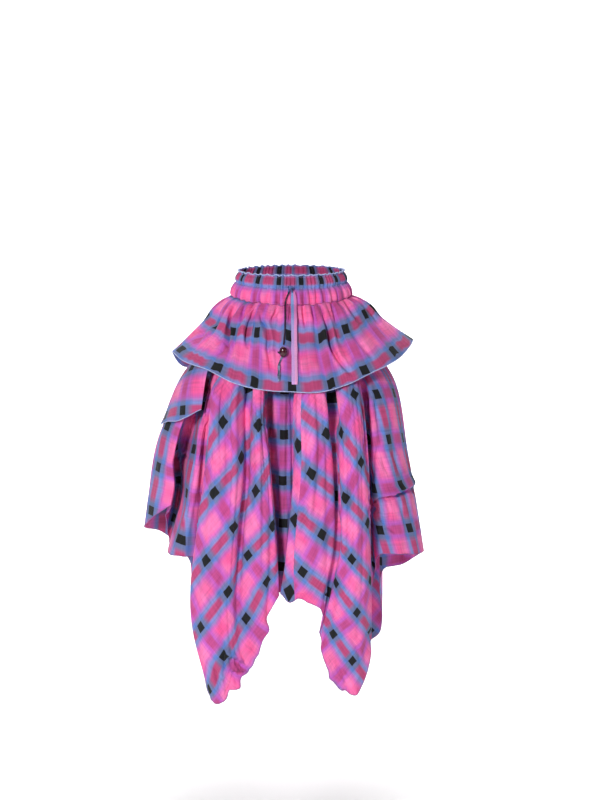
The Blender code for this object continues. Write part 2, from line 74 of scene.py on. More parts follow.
def seenAt(points, fromBehind=False):
    # pixels where points fall in the photograph's frame, or in the same frame seen from behind
    points = np.array(points, float)
    if fromBehind:
        points = points * np.array([1, -1, 1])
    tilt = math.radians(camera["tiltDown"])
    away = points - np.array(camera["eye"])
    depth = away @ np.array([0, math.cos(tilt), -math.sin(tilt)])
    focal = camera["lens"] / camera["film"] * camera["frameHeight"]
    across = camera["frameWidth"] / 2 + focal * away[..., 0] / depth
    rise = away @ np.array([0, math.sin(tilt), math.cos(tilt)])
    return np.stack([across, camera["frameHeight"] / 2 - focal * rise / depth], axis=-1), depth


# curves and waves

def smoothThrough(points, places, closed=False):
    # a smooth curve through points, read at places: 0 is the first point and 1 the second
    points = np.asarray(points, float)
    places = np.asarray(places, float)
    count = len(points)
    after = np.roll(points, -1, axis=0)
    steps = np.sqrt(np.maximum(np.linalg.norm(after - points, axis=1), 1e-9))
    chord = (after - points) / steps[:, None]
    beforeSteps = np.roll(steps, 1)
    beforeChord = np.roll(chord, 1, axis=0)
    tangents = beforeChord * steps[:, None] + chord * beforeSteps[:, None]
    tangents /= (steps + beforeSteps)[:, None]
    start = np.floor(places).astype(int)
    if not closed:
        tangents[0] = chord[0]
        tangents[-1] = beforeChord[-1]
        start = np.clip(start, 0, count - 2)
    u = (places - start)[:, None]
    a, b = start % count, (start + 1) % count
    h = steps[a][:, None]
    return (
        (2 * u**3 - 3 * u**2 + 1) * points[a]
        + (u**3 - 2 * u**2 + u) * h * tangents[a]
        + (3 * u**2 - 2 * u**3) * points[b]
        + (u**3 - u**2) * h * tangents[b]
    )


def smoothLine(points, count):
    # count points of a smooth curve, from its first point to its last
    return smoothThrough(points, np.linspace(0, len(points) - 1, count))


def runAlong(line):
    # the length gone at each point of a line, or down each column of a grid
    steps = np.linalg.norm(np.diff(line, axis=0), axis=-1)
    return np.concatenate([0 * steps[:1], np.cumsum(steps, axis=0)])


def readAlong(places, run, line):
    return np.stack([np.interp(places, run, line[:, k]) for k in range(3)], axis=-1)


def spreadAlong(points, shares):
    # points at these shares of the length of a smooth curve
    fine = smoothLine(points, 30 * len(points))
    run = runAlong(fine)
    return readAlong(np.asarray(shares) * run[-1], run, fine)


def unit(directions):
    return directions / np.maximum(np.linalg.norm(directions, axis=-1, keepdims=True), 1e-12)


def easeBetween(value, low, high):
    # 0 below low, 1 above high and a soft step between
    t = np.clip((value - low) / (high - low), 0, 1)
    return t * t * (3 - 2 * t)


def readSoftly(share, section, name):
    # a smooth line through one column of a section's rows
    line = np.array([(row.share, getattr(row, name)) for row in section], float)
    places = np.interp(share, line[:, 0], np.arange(len(line)))
    return smoothThrough(line, np.ravel(places))[:, 1].reshape(np.shape(places))


def sumWaves(angle, rows, seed=1.0):
    # each wave's rounds, size and shift
    return sum(size * np.sin(rounds * angle + shift * seed) for rounds, size, shift in rows)


gathers = {
    "wander": ((2, 2.3, 1), (5, 1.4, 2.1), (13, 0.8, 3.7)),
    "height": 0.74,
    "vary": 0.26,
}


def puckers(turn, count, seed, crest=1.0):
    # gathers from -1 to 1, uneven in size and spacing; a crest over 1 makes the valleys narrow
    angle = np.radians(turn)
    phase = count * angle + sumWaves(angle, gathers["wander"], seed)
    vary = np.sin(7 * angle + 1.9 * seed) * np.cos(4 * angle + seed)
    height = gathers["height"] + gathers["vary"] * vary
    return height * (1 - 2 * np.abs(np.sin(phase / 2)) ** (2 * crest))


# waist and seam, as in the solids

waist = {
    "halfWidth": 122.5 * mm,
    "halfDepth": 95 * mm,
    "dropFront": 67 * mm,
    "dropSide": 60 * mm,
    "flare": 16 * mm,
    "depthFlare": 0.7,    # share of the flare that the front and back get
}


def ovalOut(turn):
    # the outward direction at a turn
    angle = np.radians(turn)
    return unit(np.stack([
        np.sin(angle) / waist["halfWidth"],
        -np.cos(angle) / waist["halfDepth"],
        np.zeros_like(angle),
    ], axis=-1))


def bandLine(turn, share):
    # the band without its puckers, share of the way from the top edge to the seam
    angle = np.radians(turn)
    flare = waist["flare"] * share
    drop = waist["dropFront"] + (waist["dropSide"] - waist["dropFront"]) * np.sin(angle) ** 2
    return np.stack([
        (waist["halfWidth"] + flare) * np.sin(angle),
        -(waist["halfDepth"] + waist["depthFlare"] * flare) * np.cos(angle),
        -drop * share,
    ], axis=-1)


def ringTurns(columns):
    # turns of a ring's columns, from the centre back
    return np.arange(columns) * 360 / columns - 180


# waistband: share of the drop, swell, depth of the tight and of the loose gathers in millimetres

BandRow = namedtuple("BandRow", "name share swell tight loose")
bandSection = [BandRow(*row) for row in (
    ("top edge", 0, 1.6, 3, 0),
    ("top stitching", 0.085, -1.6, 2, 0),
    ("under the stitching", 0.14, 1.2, 2.5, 0.1),
    ("elastic channel", 0.27, 3, 2.3, 0.6),
    ("over the stitching", 0.4, 0.8, 2.3, 1),
    ("middle stitching", 0.455, -2.2, 1.8, 1.4),
    ("under the middle", 0.51, 1.4, 1.4, 3),
    ("loose channel", 0.72, 4.6, 0.6, 4.6),
    ("over the seam", 0.92, 3, 0.3, 5.6),
    ("seam", 1, 0, 0, 4),
)]
band = {
    "tightGathers": 84,
    "tightSeed": 0.6,
    "looseGathers": 47,
    "looseSeed": 2.2,
    "looseCrest": 1.6,
    "edgeRise": 1.9 * mm,    # how far the gathers lift the top edge
    "edgeSeed": 4.0,
    "edgeReach": 0.05,
    "wander": 1.1 * mm,      # how far the gathers lift the seam with the peplum
    "wanderWaves": ((11, 1, 1.0), (23, 0.8, 2.2), (37, 0.7, 4.1)),
    "squaresRound": 14,
    # share of the drop at which each row of stitches lies
    "stitches": (("stitches_top", 0.085), ("stitches_middle", 0.455), ("stitches_seam", 0.975)),
    "columns": 960,
    "rows": 34,
}


def seamWander(turn):
    return band["wander"] * sumWaves(np.radians(turn), band["wanderWaves"])


def bandSurface(turn, share):
    swell, tight, loose = (readSoftly(share, bandSection, name) for name in BandRow._fields[2:])
    out = swell + tight * puckers(turn, band["tightGathers"], band["tightSeed"])
    out = out + loose * puckers(turn, band["looseGathers"], band["looseSeed"], band["looseCrest"])
    point = bandLine(turn, share) + ovalOut(turn) * (out * mm)[..., None]
    rise = band["edgeRise"] * puckers(turn, band["tightGathers"] / 2, band["edgeSeed"])
    point[..., 2] += rise * np.exp(-share / band["edgeReach"])
    point[..., 2] += seamWander(turn) * easeBetween(share, 0.6, 1.0)
    return point


# peplum: its hem in millimetres, its section as shares of the way from the seam to the hem

HemRow = namedtuple("HemRow", "turn x y z")
peplumHem = [HemRow(*row) for row in (
    (-180, 0, 200, -238),
    (-158, -88, 188, -242),
    (-134, -196, 142, -247),
    (-110, -262, 68, -244),
    (-90, -284, 6, -196),
    (-70, -250, -97, -200),
    (-50, -192, -153, -210),
    (-32, -124, -187, -236),
    (-15, -60, -202, -247),
    (0, 2, -207, -250),
    (15, 62, -203, -252),
    (32, 122, -188, -239),
    (50, 188, -156, -214),
    (70, 250, -104, -192),
    (90, 290, 4, -166),
    (110, 268, 64, -206),
    (134, 192, 144, -226),
    (158, 86, 188, -235),
)]
SectionRow = namedtuple("SectionRow", "share reach drop")
peplumSection = [SectionRow(*row) for row in (
    (0, 0, 0),
    (0.1, 0.14, 0.07),
    (0.25, 0.3, 0.22),
    (0.45, 0.44, 0.44),
    (0.7, 0.68, 0.69),
    (1, 1, 1),
)]
# long folds: turn at the seam and at the hem, depth and half width in millimetres and degrees,
# and the share of the cloth at which each is deepest and has gone
PleatRow = namedtuple("PleatRow", "name turnTop turnHem depth width deepest gone")
peplumFolds = [PleatRow(*row) for row in (
    ("left overlap", -52, -47, 13, 9, 0.55, 1.05),
    ("left of centre", -25, -27, 8, 7, 0.3, 0.85),
    ("near the cord", -14, -14, 7, 6, 0.45, 0.8),
    ("right of the tie", 3, 4, 5, 6, 0.35, 0.8),
    ("long right fold", 11, 24, 11, 6, 0.45, 1),
    ("right side", 38, 44, 8, 9, 0.25, 0.7),
    ("far right", 63, 68, 8, 10, 0.3, 0.8),
    ("far left", -76, -72, 7, 9, 0.35, 0.85),
    ("back right", 108, 112, 8, 9, 0.35, 0.85),
    ("back right of centre", 140, 142, 11, 8, 0.45, 0.95),
    ("centre back", 170, 168, 7, 7, 0.35, 0.8),
    ("back left of centre", 200, 203, 11, 8, 0.5, 1),
    ("back left", 236, 240, 8, 9, 0.35, 0.85),
)]
# gathers: depth in millimetres, number, seed and crest, and the shares of the cloth between
# which each grows and goes, down to what is left of it
GatherRow = namedtuple("GatherRow", "name depth count seed crest grows goes left")
peplumGathers = [GatherRow(*row) for row in (
    ("at the seam", 3.8, band["looseGathers"], 2.2, 1.6, (-1, 0), (0.05, 0.42), 0),
    ("every second one", 5, band["looseGathers"] / 2, 2.2, 1.3, (0, 0.2), (0.35, 1), 0),
    ("broad, to the hem", 3, 17, 5.1, 1, (0.1, 0.4), (0.6, 1), 0.3),
)]
peplum = {
    "topDrop": 1.2 * mm,
    "topOut": 0.4 * mm,
    "foldsStart": 0.2,    # share of the cloth at which the long folds have their depth
    "squaresApart": (20, 17),    # degrees between the black squares, upper and lower row
    "backApart": 21,
    "backTurn": 93,
    "backSquares": 20 * mm,      # how far above its hem the hidden back's squares lie
    "seamGap": 0.3 * mm,
    "columns": 720,
    "rows": 60,
}


def hemOfPeplum(turn):
    turns = [row.turn for row in peplumHem] + [peplumHem[0].turn + 360]
    turn = (np.ravel(turn) + 180) % 360 - 180
    points = np.array([row[1:] for row in peplumHem]) * mm
    return smoothThrough(points, np.interp(turn, turns, range(len(turns))), closed=True)


def foldDepth(turn, share):
    depth = np.zeros(np.broadcast(turn, share).shape)
    for fold in peplumFolds:
        centre = fold.turnTop + (fold.turnHem - fold.turnTop) * share
        away = (turn - centre + 180) % 360 - 180
        growing = 0.35 + 0.65 * share / fold.deepest
        going = np.clip(1 - (share - fold.deepest) / (fold.gone - fold.deepest), 0, 1)
        strength = np.where(share <= fold.deepest, growing, going)
        depth = depth + fold.depth * strength * np.exp(-((away / fold.width) ** 2))
    return depth


def peplumSurface(turn, share):
    seam = bandLine(turn, np.ones_like(turn)) - np.array([0, 0, peplum["topDrop"]])
    seam = seam + ovalOut(turn) * peplum["topOut"]
    hem = hemOfPeplum(turn).reshape(seam.shape)
    reach, drop = (readSoftly(share, peplumSection, name) for name in SectionRow._fields[1:])
    point = seam + (hem - seam) * np.stack([reach, reach, drop], axis=-1)
    out = -foldDepth(turn, share) * np.clip(share / peplum["foldsStart"], 0, 1)
    for row in peplumGathers:
        strength = easeBetween(share, *row.grows)
        strength = strength * (1 - (1 - row.left) * easeBetween(share, *row.goes))
        out = out + row.depth * puckers(turn, row.count, row.seed, row.crest) * strength
    point = point + ovalOut(turn) * (out * mm)[..., None]
    point[..., 2] += seamWander(turn) * (1 - easeBetween(share, 0.0, 0.25))
    return point


# lower skirt: each fold's name and its place at the hip (x, y), at the thigh, in some near the
# knee, and at the hem (x, y, z), in millimetres

skirtPanels = {
    "skirt_side_left": (
        ("left seam", (-204, 76), (-268, 80, -450), (-284, 84, -698)),
        ("left back", (-228, 52), (-302, 50, -430), (-324, 46, -652)),
        ("left lobe side", (-250, -4), (-319, -14, -400), (-346, -18, -545), (-357, -20, -621)),
        ("left lobe front", (-227, -86), (-276, -118, -430), (-275, -116, -496),
         (-284, -104, -545)),
        ("left lobe turn", (-217, -58), (-282, -70, -430), (-284, -64, -510), (-300, -56, -586)),
        ("left hollow", (-196, -38), (-262, -8, -440), (-272, 2, -540), (-298, 0, -663)),
        ("second lobe edge", (-190, -84), (-232, -140, -450), (-250, -138, -550),
         (-288, -122, -659)),
        ("second lobe", (-184, -104), (-222, -160, -450), (-258, -150, -655)),
        ("second lobe turn", (-172, -106), (-204, -148, -450), (-224, -136, -664)),
        ("left tuck", (-152, -96), (-176, -108, -450), (-200, -100, -740)),
    ),
    "skirt_front_left": (
        ("left front seam", (-158, -124), (-182, -148, -450), (-212, -122, -880)),
        ("left edge", (-178, -152), (-197, -188, -440), (-236, -176, -790), (-196, -150, -1004)),
        ("left crest", (-166, -176), (-174, -212, -440), (-204, -204, -800), (-178, -164, -1018)),
        ("left pleat", (-148, -170), (-148, -208, -440), (-166, -208, -790), (-154, -172, -1001)),
        ("left face", (-127, -184), (-127, -218, -440), (-142, -208, -770), (-130, -176, -968)),
        ("left valley", (-102, -150), (-104, -184, -453), (-127, -192, -727), (-106, -176, -932)),
        ("second crest", (-82, -194), (-76, -214, -440), (-82, -208, -700), (-72, -190, -862)),
        ("second face", (-70, -190), (-58, -206, -440), (-50, -200, -660), (-56, -188, -790)),
        ("front left edge", (-63, -176), (-49, -188, -425), (-32, -188, -640), (-29, -184, -735)),
    ),
    "skirt_centre_front": (
        ("front left seam", (-60, -134), (-52, -140, -450), (-48, -140, -745)),
        ("centre left", (-50, -104), (-48, -112, -450), (-50, -116, -752)),
        ("centre", (-18, -136), (-18, -142, -450), (-18, -138, -748)),
        ("centre right", (3, -126), (3, -132, -450), (2, -130, -748)),
    ),
    "skirt_front_right": (
        ("front right seam", (17, -126), (17, -130, -450), (14, -130, -746)),
        ("strip fold back", (28, -146), (27, -152, -450), (20, -154, -744)),
        ("strip left edge", (6, -180), (3, -190, -440), (-14, -192, -645), (-26, -186, -734)),
        ("strip right edge", (23, -195), (23, -208, -440), (6, -208, -645), (8, -200, -748)),
        ("right one crest", (52, -194), (54, -214, -440), (50, -216, -640), (42, -204, -752)),
        ("right one inner", (76, -178), (84, -198, -440), (80, -204, -650), (72, -192, -776)),
        ("right valley", (92, -134), (104, -170, -440), (101, -186, -650), (65, -176, -852)),
        ("right two inner", (112, -174), (119, -202, -440), (116, -206, -700), (82, -174, -916)),
        ("right two crest", (133, -184), (142, -214, -440), (144, -210, -740), (116, -168, -980)),
        ("right two face", (149, -176), (163, -202, -440), (170, -194, -760), (155, -160, -993)),
        ("right edge", (160, -156), (176, -176, -440), (186, -166, -700), (189, -148, -888)),
    ),
    "skirt_side_right": (
        ("right front seam", (158, -122), (172, -132, -450), (182, -106, -800)),
        ("right tuck", (160, -88), (176, -82, -450), (198, -60, -735)),
        ("side edge", (180, -112), (193, -124, -450), (208, -112, -664)),
        ("side face", (212, -98), (236, -106, -450), (258, -94, -668)),
        ("side round", (234, -52), (268, -62, -450), (304, -58, -678)),
        ("right silhouette", (244, -4), (281, -6, -450), (322, -8, -686)),
        ("right back", (240, 46), (274, 50, -450), (306, 60, -722)),
    ),
    "skirt_back_right": (
        ("right back seam", (222, 86), (250, 94, -450), (276, 102, -756)),
        ("back right tuck", (198, 88), (216, 86, -450), (228, 82, -764)),
        ("back right edge", (184, 122), (208, 146, -450), (224, 150, -740), (223, 146, -954)),
        ("back right crest", (150, 156), (166, 190, -450), (174, 186, -760), (180, 166, -984)),
        ("back right valley", (122, 136), (130, 160, -450), (134, 166, -740), (134, 166, -956)),
        ("back right face", (98, 171), (98, 200, -450), (94, 198, -720), (84, 186, -872)),
        ("back right inner", (66, 170), (62, 188, -450), (52, 186, -640), (42, 182, -745)),
        ("back centre right", (46, 132), (46, 144, -450), (46, 148, -735)),
    ),
    "skirt_back_left": (
        ("centre back seam", (0, 154), (0, 166, -450), (0, 168, -730)),
        ("back centre left", (-48, 132), (-48, 144, -450), (-48, 148, -738)),
        ("back left inner", (-68, 171), (-66, 190, -450), (-54, 188, -650), (-46, 184, -752)),
        ("back left face", (-102, 171), (-104, 200, -450), (-102, 198, -730), (-94, 186, -880)),
        ("back left valley", (-126, 136), (-138, 162, -450), (-144, 168, -740),
         (-140, 166, -958)),
        ("back left crest", (-154, 156), (-178, 186, -450), (-192, 184, -760), (-186, 164, -988)),
        ("back left edge", (-186, 118), (-224, 138, -450), (-252, 134, -770), (-236, 140, -936)),
        ("back left tuck", (-194, 82), (-232, 82, -450), (-250, 78, -752)),
    ),
}
lowerSkirt = {
    "hipLevel": -265,
    "topInset": 4.6 * mm,
    "topDrop": 0.3 * mm,
    "hiddenSlope": (0.42, 0.42, 0.52),   # halfway to the hip the skirt stays inside the peplum
    "hiddenShare": 0.17,                 # share of its length that the peplum covers
    "hiddenRows": 10,
    "rows": 124,
    "samples": 16,       # columns for each fold
    "smallestTurn": 3,
    "seamGap": 0.05 * mm,
}


def foldTurns(hips):
    # where each fold starts on the seam: by its bearing, its share of the cloth and its number
    bearing = np.arctan2(hips[:, 0] / waist["halfWidth"], -hips[:, 1] / waist["halfDepth"])
    bearing = np.degrees(np.unwrap(bearing))
    steps = np.linalg.norm((np.roll(hips, -1, axis=0) - hips)[:, :2], axis=1)
    run = np.concatenate([[0], np.cumsum(steps)[:-1]]) / steps.sum() * 360
    even = np.arange(len(hips)) * 360 / len(hips)
    shared = run + (bearing - run).mean()
    spaced = even + (bearing - even).mean()
    turns = (bearing + shared + spaced) / 3
    for i in range(1, len(turns)):
        turns[i] = max(turns[i], turns[i - 1] + lowerSkirt["smallestTurn"])
    return turns


def skirtShares():
    hidden = lowerSkirt["hiddenShare"]
    return np.concatenate([
        np.linspace(0, hidden, lowerSkirt["hiddenRows"], endpoint=False),
        np.linspace(hidden, 1, lowerSkirt["rows"]),
    ])


def skirtRing():
    # the whole lower skirt as one grid of points: rows down, columns round
    folds = [fold for panel in skirtPanels.values() for fold in panel]
    hips = np.array([(*hip, lowerSkirt["hipLevel"]) for _, hip, *_ in folds]) * mm
    turns = foldTurns(hips)
    softened = (np.roll(hips, 1, axis=0) + 2 * hips + np.roll(hips, -1, axis=0)) / 4
    tops = bandLine(turns, np.ones_like(turns)) - ovalOut(turns) * lowerSkirt["topInset"]
    tops[:, 2] -= lowerSkirt["topDrop"]
    lines = []
    for fold, top, hip, soft in zip(folds, tops, hips, softened):
        underPeplum = top + (soft - top) * np.array(lowerSkirt["hiddenSlope"])
        below = [np.array(level) * mm for level in fold[2:]]
        lines.append(spreadAlong([top, underPeplum, hip, *below], skirtShares()))
    levels = np.swapaxes(lines, 0, 1)
    places = np.arange(len(folds) * lowerSkirt["samples"]) / lowerSkirt["samples"]
    return np.array([smoothThrough(level, places, closed=True) for level in levels])


# hip flap, in millimetres: its top edge follows the side panel

FlapRow = namedtuple("FlapRow", "name middle hem")
hipFlapFolds = [FlapRow(*row) for row in (
    ("back edge", (-236, 66, -236), (-284, 84, -352)),
    ("back face", (-250, 34, -240), (-306, 44, -362)),
    ("silhouette", (-258, -12, -246), (-313, -8, -369)),
    ("front round", (-244, -72, -232), (-288, -88, -340)),
    ("square", (-224, -106, -222), (-264, -122, -326)),
    ("front face", (-206, -122, -214), (-238, -144, -312)),
    ("front edge", (-190, -132, -208), (-207, -148, -303)),
)]
hipFlap = {
    "sewnAt": 0.15,       # share of the skirt's length where the flap is sewn to the side panel
    "standOff": 1.8 * mm,
    "grain": -20,
    "rows": 50,
}


def normalsOf(grid, closed=False):
    # outward normals of a grid whose rows run down and whose columns run round to the right
    if closed:
        across = np.roll(grid, -1, axis=1) - np.roll(grid, 1, axis=1)
    else:
        across = np.gradient(grid, axis=1)
    return unit(np.cross(np.gradient(grid, axis=0), across))


def flapGrid(ring):
    # the flap covers the side panel's first folds, so it starts at the ring's first column
    samples = lowerSkirt["samples"]
    columns = np.arange((len(hipFlapFolds) - 1) * samples + 1)
    level = int(np.argmin(abs(skirtShares() - hipFlap["sewnAt"])))
    out = normalsOf(ring, closed=True)[level, columns]
    top = ring[level, columns] + out * hipFlap["standOff"]
    middle, hem = (
        smoothThrough([np.array(row[k]) * mm for row in hipFlapFolds], columns / samples)
        for k in (1, 2))
    shares = np.linspace(0, 1, hipFlap["rows"])
    return np.swapaxes([spreadAlong(line, shares) for line in zip(top, middle, hem)], 0, 1)


# check: the cloth's repeat, and the black squares that the photograph shows

cloth = {
    "repeat": 105 * mm,
    "wall": 0.8 * mm,
    "trust": 0.0012,      # how firmly a piece keeps to its own grain where few squares are seen
    "reach": 60 * mm,
    "ease": 0.15,         # how much it gives way between squares
    "nearest": 1.2,       # pixels within which a point may stand for a square
    "missCosts": 2 * mm,  # of depth, for each pixel that it misses the square by
    "coarseRows": 36,     # cloth is laid flat on a coarse grid
    "coarseColumns": 40,
    "pulls": 160,         # times that its points pull each other to their real distance
    "pullShare": 0.2,
}

# a black square: its pixel in the photograph, and its number along u and v in the check
Square = namedtuple("Square", "x y u v")
# a piece of the check: the folds that it covers, the turn of its grain in degrees, a shift in
# repeats where nothing is seen, and its squares
Region = namedtuple("Region", "panel first last grain shift squares")


def region(panel, first, last, grain, *squares, shift=(0, 0)):
    return Region(panel, first, last, grain, shift, [Square(*row) for row in squares])


checkRegions = (
    region("skirt_side_left", 0, 3.4, -90, (166, 425.5, 2, 0), (157.5, 466.8, 1, 0),
        (149.5, 511, 0, 0)),
    region("skirt_side_left", 3.4, 10, -90, (193.3, 449, 2, 0), (185.5, 494, 1, 0),
        (179.6, 538.7, 0, 0)),
    region("skirt_front_left", 0, 9, -45, (222.5, 422.7, 0, 0), (242.2, 457.9, 0, 1),
        (256.4, 490.8, 0, 2), (272.3, 528.3, 0, 3), (213.3, 494.2, -1, 1), (235.1, 526.4, -1, 2),
        (248.8, 555.6, -1, 3), (265.4, 581.6, -1, 4), (204.6, 561.6, -2, 2),
        (229.1, 591.4, -2, 3), (244.9, 618.1, -2, 4), (200.3, 628, -3, 3), (223.4, 655.3, -3, 4),
        (208.5, 691, -4, 4), (261, 425.8, 1, 1)),
    region("skirt_centre_front", 0, 4, 0, (282.9, 436, 0, 0), (281.8, 480.5, 0, 1),
        (282.7, 524, 0, 2)),
    region("skirt_front_right", 0, 3, 45, (297.4, 445.3, 0, 0), (289.3, 592, 2, 2)),
    region("skirt_front_right", 3, 6.1, 45, (326.9, 433.5, 0, -1), (310.4, 475, 0, 0),
        (322.2, 534, 1, 1), (303, 573, 1, 2), (328.8, 593.2, 2, 2)),
    region("skirt_front_right", 6.1, 11, 45, (355.8, 392, 0, -1), (341.4, 432.2, 0, 0),
        (360.8, 461.9, 1, 0), (344.6, 499.2, 1, 1), (368.3, 523.6, 2, 1), (351.7, 560.3, 2, 2),
        (334.8, 582.3, 2, 3), (358.9, 614.5, 3, 3), (332.6, 632.2, 3, 4), (352.3, 659.7, 4, 4)),
    region("skirt_side_right", 0, 7, 90, (376.8, 394.5, 0, -1), (390.3, 438.7, 1, -1),
        (403.1, 483.9, 2, -1), (410.3, 528.7, 3, -1), (367.4, 440.6, 1, 0), (372.4, 488.2, 2, 0),
        (379, 529.8, 3, 0), (404, 438.7, 1, -2)),
    region("skirt_back_right", 0, 1.6, 90, shift=(0.3, 0.2)),
    region("skirt_back_right", 1.6, 8, 135, shift=(0.1, 0.4)),
    region("skirt_back_left", 0, 1.2, 180, shift=(0.4, 0.1)),
    region("skirt_back_left", 1.2, 7, -135, shift=(0.2, 0.6)),
    region("skirt_back_left", 7, 8, -90, shift=(0.1, 0.3)),
)
flapSquares = [Square(*row) for row in (
    (181.1, 410.5, 0, 0),
)]
peplumSquares = [Square(*row) for row in (
    (231, 331, 0, 0),
    (256.4, 332.4, 1, 0),
    (289.7, 336.2, 2, 0),
    (321.3, 335.8, 3, 0),
    (345.2, 329, 4, 0),
    (367.7, 313.2, 5, 0),
    (179.2, 347.5, -1, 1),
    (218.3, 365.9, 0, 1),
    (255, 381.7, 1, 1),
    (292.3, 387, 2, 1),
    (331.6, 383.2, 3, 1),
    (364.7, 370, 4, 1),
    (393.7, 348.8, 5, 1),
)]
bandSquares = [Square(*row) for row in (
    (241.3, 277.9, 0, 0),
    (257.9, 278.8, 1, 0),
    (278.9, 281, 2, 0),
    (300.6, 280.7, 3, 0),
    (320.3, 277.3, 4, 0),
    (336.9, 276.6, 5, 0),
)]


def everyFew(count, step):
    # every step-th number below count, and the last
    return np.unique(np.append(np.arange(0, count, step), count - 1))


def pressFlat(grid):
    # the grid's cloth laid flat: across to the right and down, in metres
    rows = everyFew(grid.shape[0], max(1, grid.shape[0] // cloth["coarseRows"]))
    columns = everyFew(grid.shape[1], max(1, grid.shape[1] // cloth["coarseColumns"]))
    coarse = grid[np.ix_(rows, columns)]
    rowCount, columnCount = coarse.shape[:2]
    flat = np.zeros((rowCount, columnCount, 2))
    middle = columnCount // 2
    flat[:, middle, 1] = runAlong(coarse[:, middle])
    along = unit(np.gradient(coarse, axis=0))
    for direction, last in ((1, columnCount - 1), (-1, 0)):
        for column in range(middle, last, direction):
            step = coarse[:, column + direction] - coarse[:, column]
            inLine = (step * along[:, column]).sum(axis=-1)
            aside = np.sqrt(np.maximum((step**2).sum(axis=-1) - inLine**2, 0))
            tangent = unit(np.gradient(flat[:, column], axis=0))
            side = np.stack([tangent[:, 1], -tangent[:, 0]], axis=-1) * direction
            moved = tangent * inLine[:, None] + side * aside[:, None]
            flat[:, column + direction] = flat[:, column] + moved
    # neighbours pull each other to their real distance
    ties = []
    for down, right in ((0, 1), (1, 0), (1, 1), (1, -1)):
        left, right = max(0, -right), max(0, right)
        a = (slice(0, rowCount - down), slice(left, columnCount - right))
        b = (slice(down, rowCount), slice(right, columnCount - left))
        ties.append((a, b, np.linalg.norm(coarse[b] - coarse[a], axis=-1)))
    for _ in range(cloth["pulls"]):
        moves = np.zeros_like(flat)
        for a, b, length in ties:
            gap = flat[b] - flat[a]
            now = np.maximum(np.linalg.norm(gap, axis=-1), 1e-9)
            shift = gap * ((now - length) / now)[..., None] / 2
            moves[a] += shift
            moves[b] -= shift
        flat += moves * cloth["pullShare"]
    # back to every point of the grid
    allRows, allColumns = (np.arange(count) for count in grid.shape[:2])
    result = np.zeros((*grid.shape[:2], 2))
    for k in range(2):
        byRow = np.array([np.interp(allRows, rows, column) for column in flat[..., k].T]).T
        result[..., k] = [np.interp(allColumns, columns, row) for row in byRow]
    return result


def pointSeen(grid, square):
    # the row and column of the front-most point of the grid that falls on the square's pixel
    pixels, depth = seenAt(grid)
    miss = np.hypot(pixels[..., 0] - square.x, pixels[..., 1] - square.y)
    near = miss < miss.min() + cloth["nearest"]
    rank = np.where(near, depth + miss * cloth["missCosts"], np.inf)
    return np.unravel_index(np.argmin(rank), rank.shape)


def layCheck(grid, flat, grain, shift, squares):
    # where each point of the grid lies in the check, in metres
    angle = math.radians(grain)
    turned = np.array([[math.cos(angle), math.sin(angle)], [-math.sin(angle), math.cos(angle)]])
    if not squares:
        return flat @ turned.T + np.array(shift) * cloth["repeat"]
    seen = np.array([flat[pointSeen(grid, square)] for square in squares])
    aim = np.array([(square.u, square.v) for square in squares]) * cloth["repeat"]
    centre, aimCentre = seen.mean(axis=0), aim.mean(axis=0)
    spread = seen - centre
    keep = cloth["trust"] * np.eye(2)
    fit = (aim - aimCentre).T @ spread + turned @ keep
    fit = fit @ np.linalg.inv(spread.T @ spread + keep)
    laid = (flat - centre) @ fit.T + aimCentre
    left = aim - (spread @ fit.T + aimCentre)
    gaps = np.linalg.norm(flat[..., None, :] - seen, axis=-1)
    weight = np.exp(-((gaps / cloth["reach"]) ** 2))
    pull = (weight[..., None] * left).sum(axis=-2)
    pull /= weight.sum(axis=-1, keepdims=True) + cloth["ease"]
    largest = np.linalg.norm(left, axis=1).max() / mm
    print(f"  check: {len(squares)} squares, largest pull {largest:.0f} mm")
    return laid + pull


# creases pressed into the cloth, in the photograph's pixels

# each has its depth in millimetres (under 0 it stands proud), its width in pixels and the points
# that it runs through; a ledge stands proud above its line and lies back below it
Crease = namedtuple("Crease", "depth width points ledge", defaults=[False])
peplumCreases = [Crease(*row) for row in (
    (15, 2, ((255, 302), (253, 312), (251, 319), (248, 326), (246.5, 336), (247.5, 346))),
    (10, 2, ((259, 312), (262, 320), (266, 329), (268.3, 339), (268, 349), (270, 361),
     (271, 371))),
    (8, 1.8, ((277.5, 308), (276, 313), (273.5, 317), (271.5, 325))),
    (16, 2, ((318.6, 299), (323, 312), (327, 324), (329, 336), (331, 346), (339, 360),
     (350, 373))),
    (14, 2.2, ((236, 306), (232, 314), (229, 326), (228, 336), (226, 346), (214, 356))),
    (10, 2.4, ((249, 322), (248, 330), (247.5, 339))),
    (9, 2, ((232.5, 313), (230, 322), (228.5, 333))),
    (9, 2.2, ((221, 312), (216, 323), (211, 334))),
    (8, 1.8, ((331, 299), (334, 311), (337, 325))),
    (7, 1.6, ((303, 303), (304, 316), (306, 329))),
    (7, 1.6, ((312, 302), (313, 312), (316, 322))),
    (6, 1.6, ((343, 297), (350, 309), (358, 321))),
    (6, 1.6, ((291, 303), (290, 314), (288, 325))),
    (7, 1.6, ((245, 304), (243, 314), (240, 326))),
    (-4, 1.8, ((322, 300), (327, 318), (333, 336), (341, 352))),
    (-4, 1.8, ((242, 318), (239, 334), (236, 352), (233, 364))),
    (5, 1.4, ((222, 340), (228, 346), (230, 352))),
    (4, 1.2, ((266, 351), (271, 350), (276, 348))),
    (7, 2.2, ((360, 301), (371, 312), (380, 325))),
    (5, 2, ((212, 322), (203, 334), (196, 345))),
    (4, 2, ((350, 330), (362, 346), (372, 358))),
    (4, 2, ((300, 345), (301, 362), (303, 380))),
)]
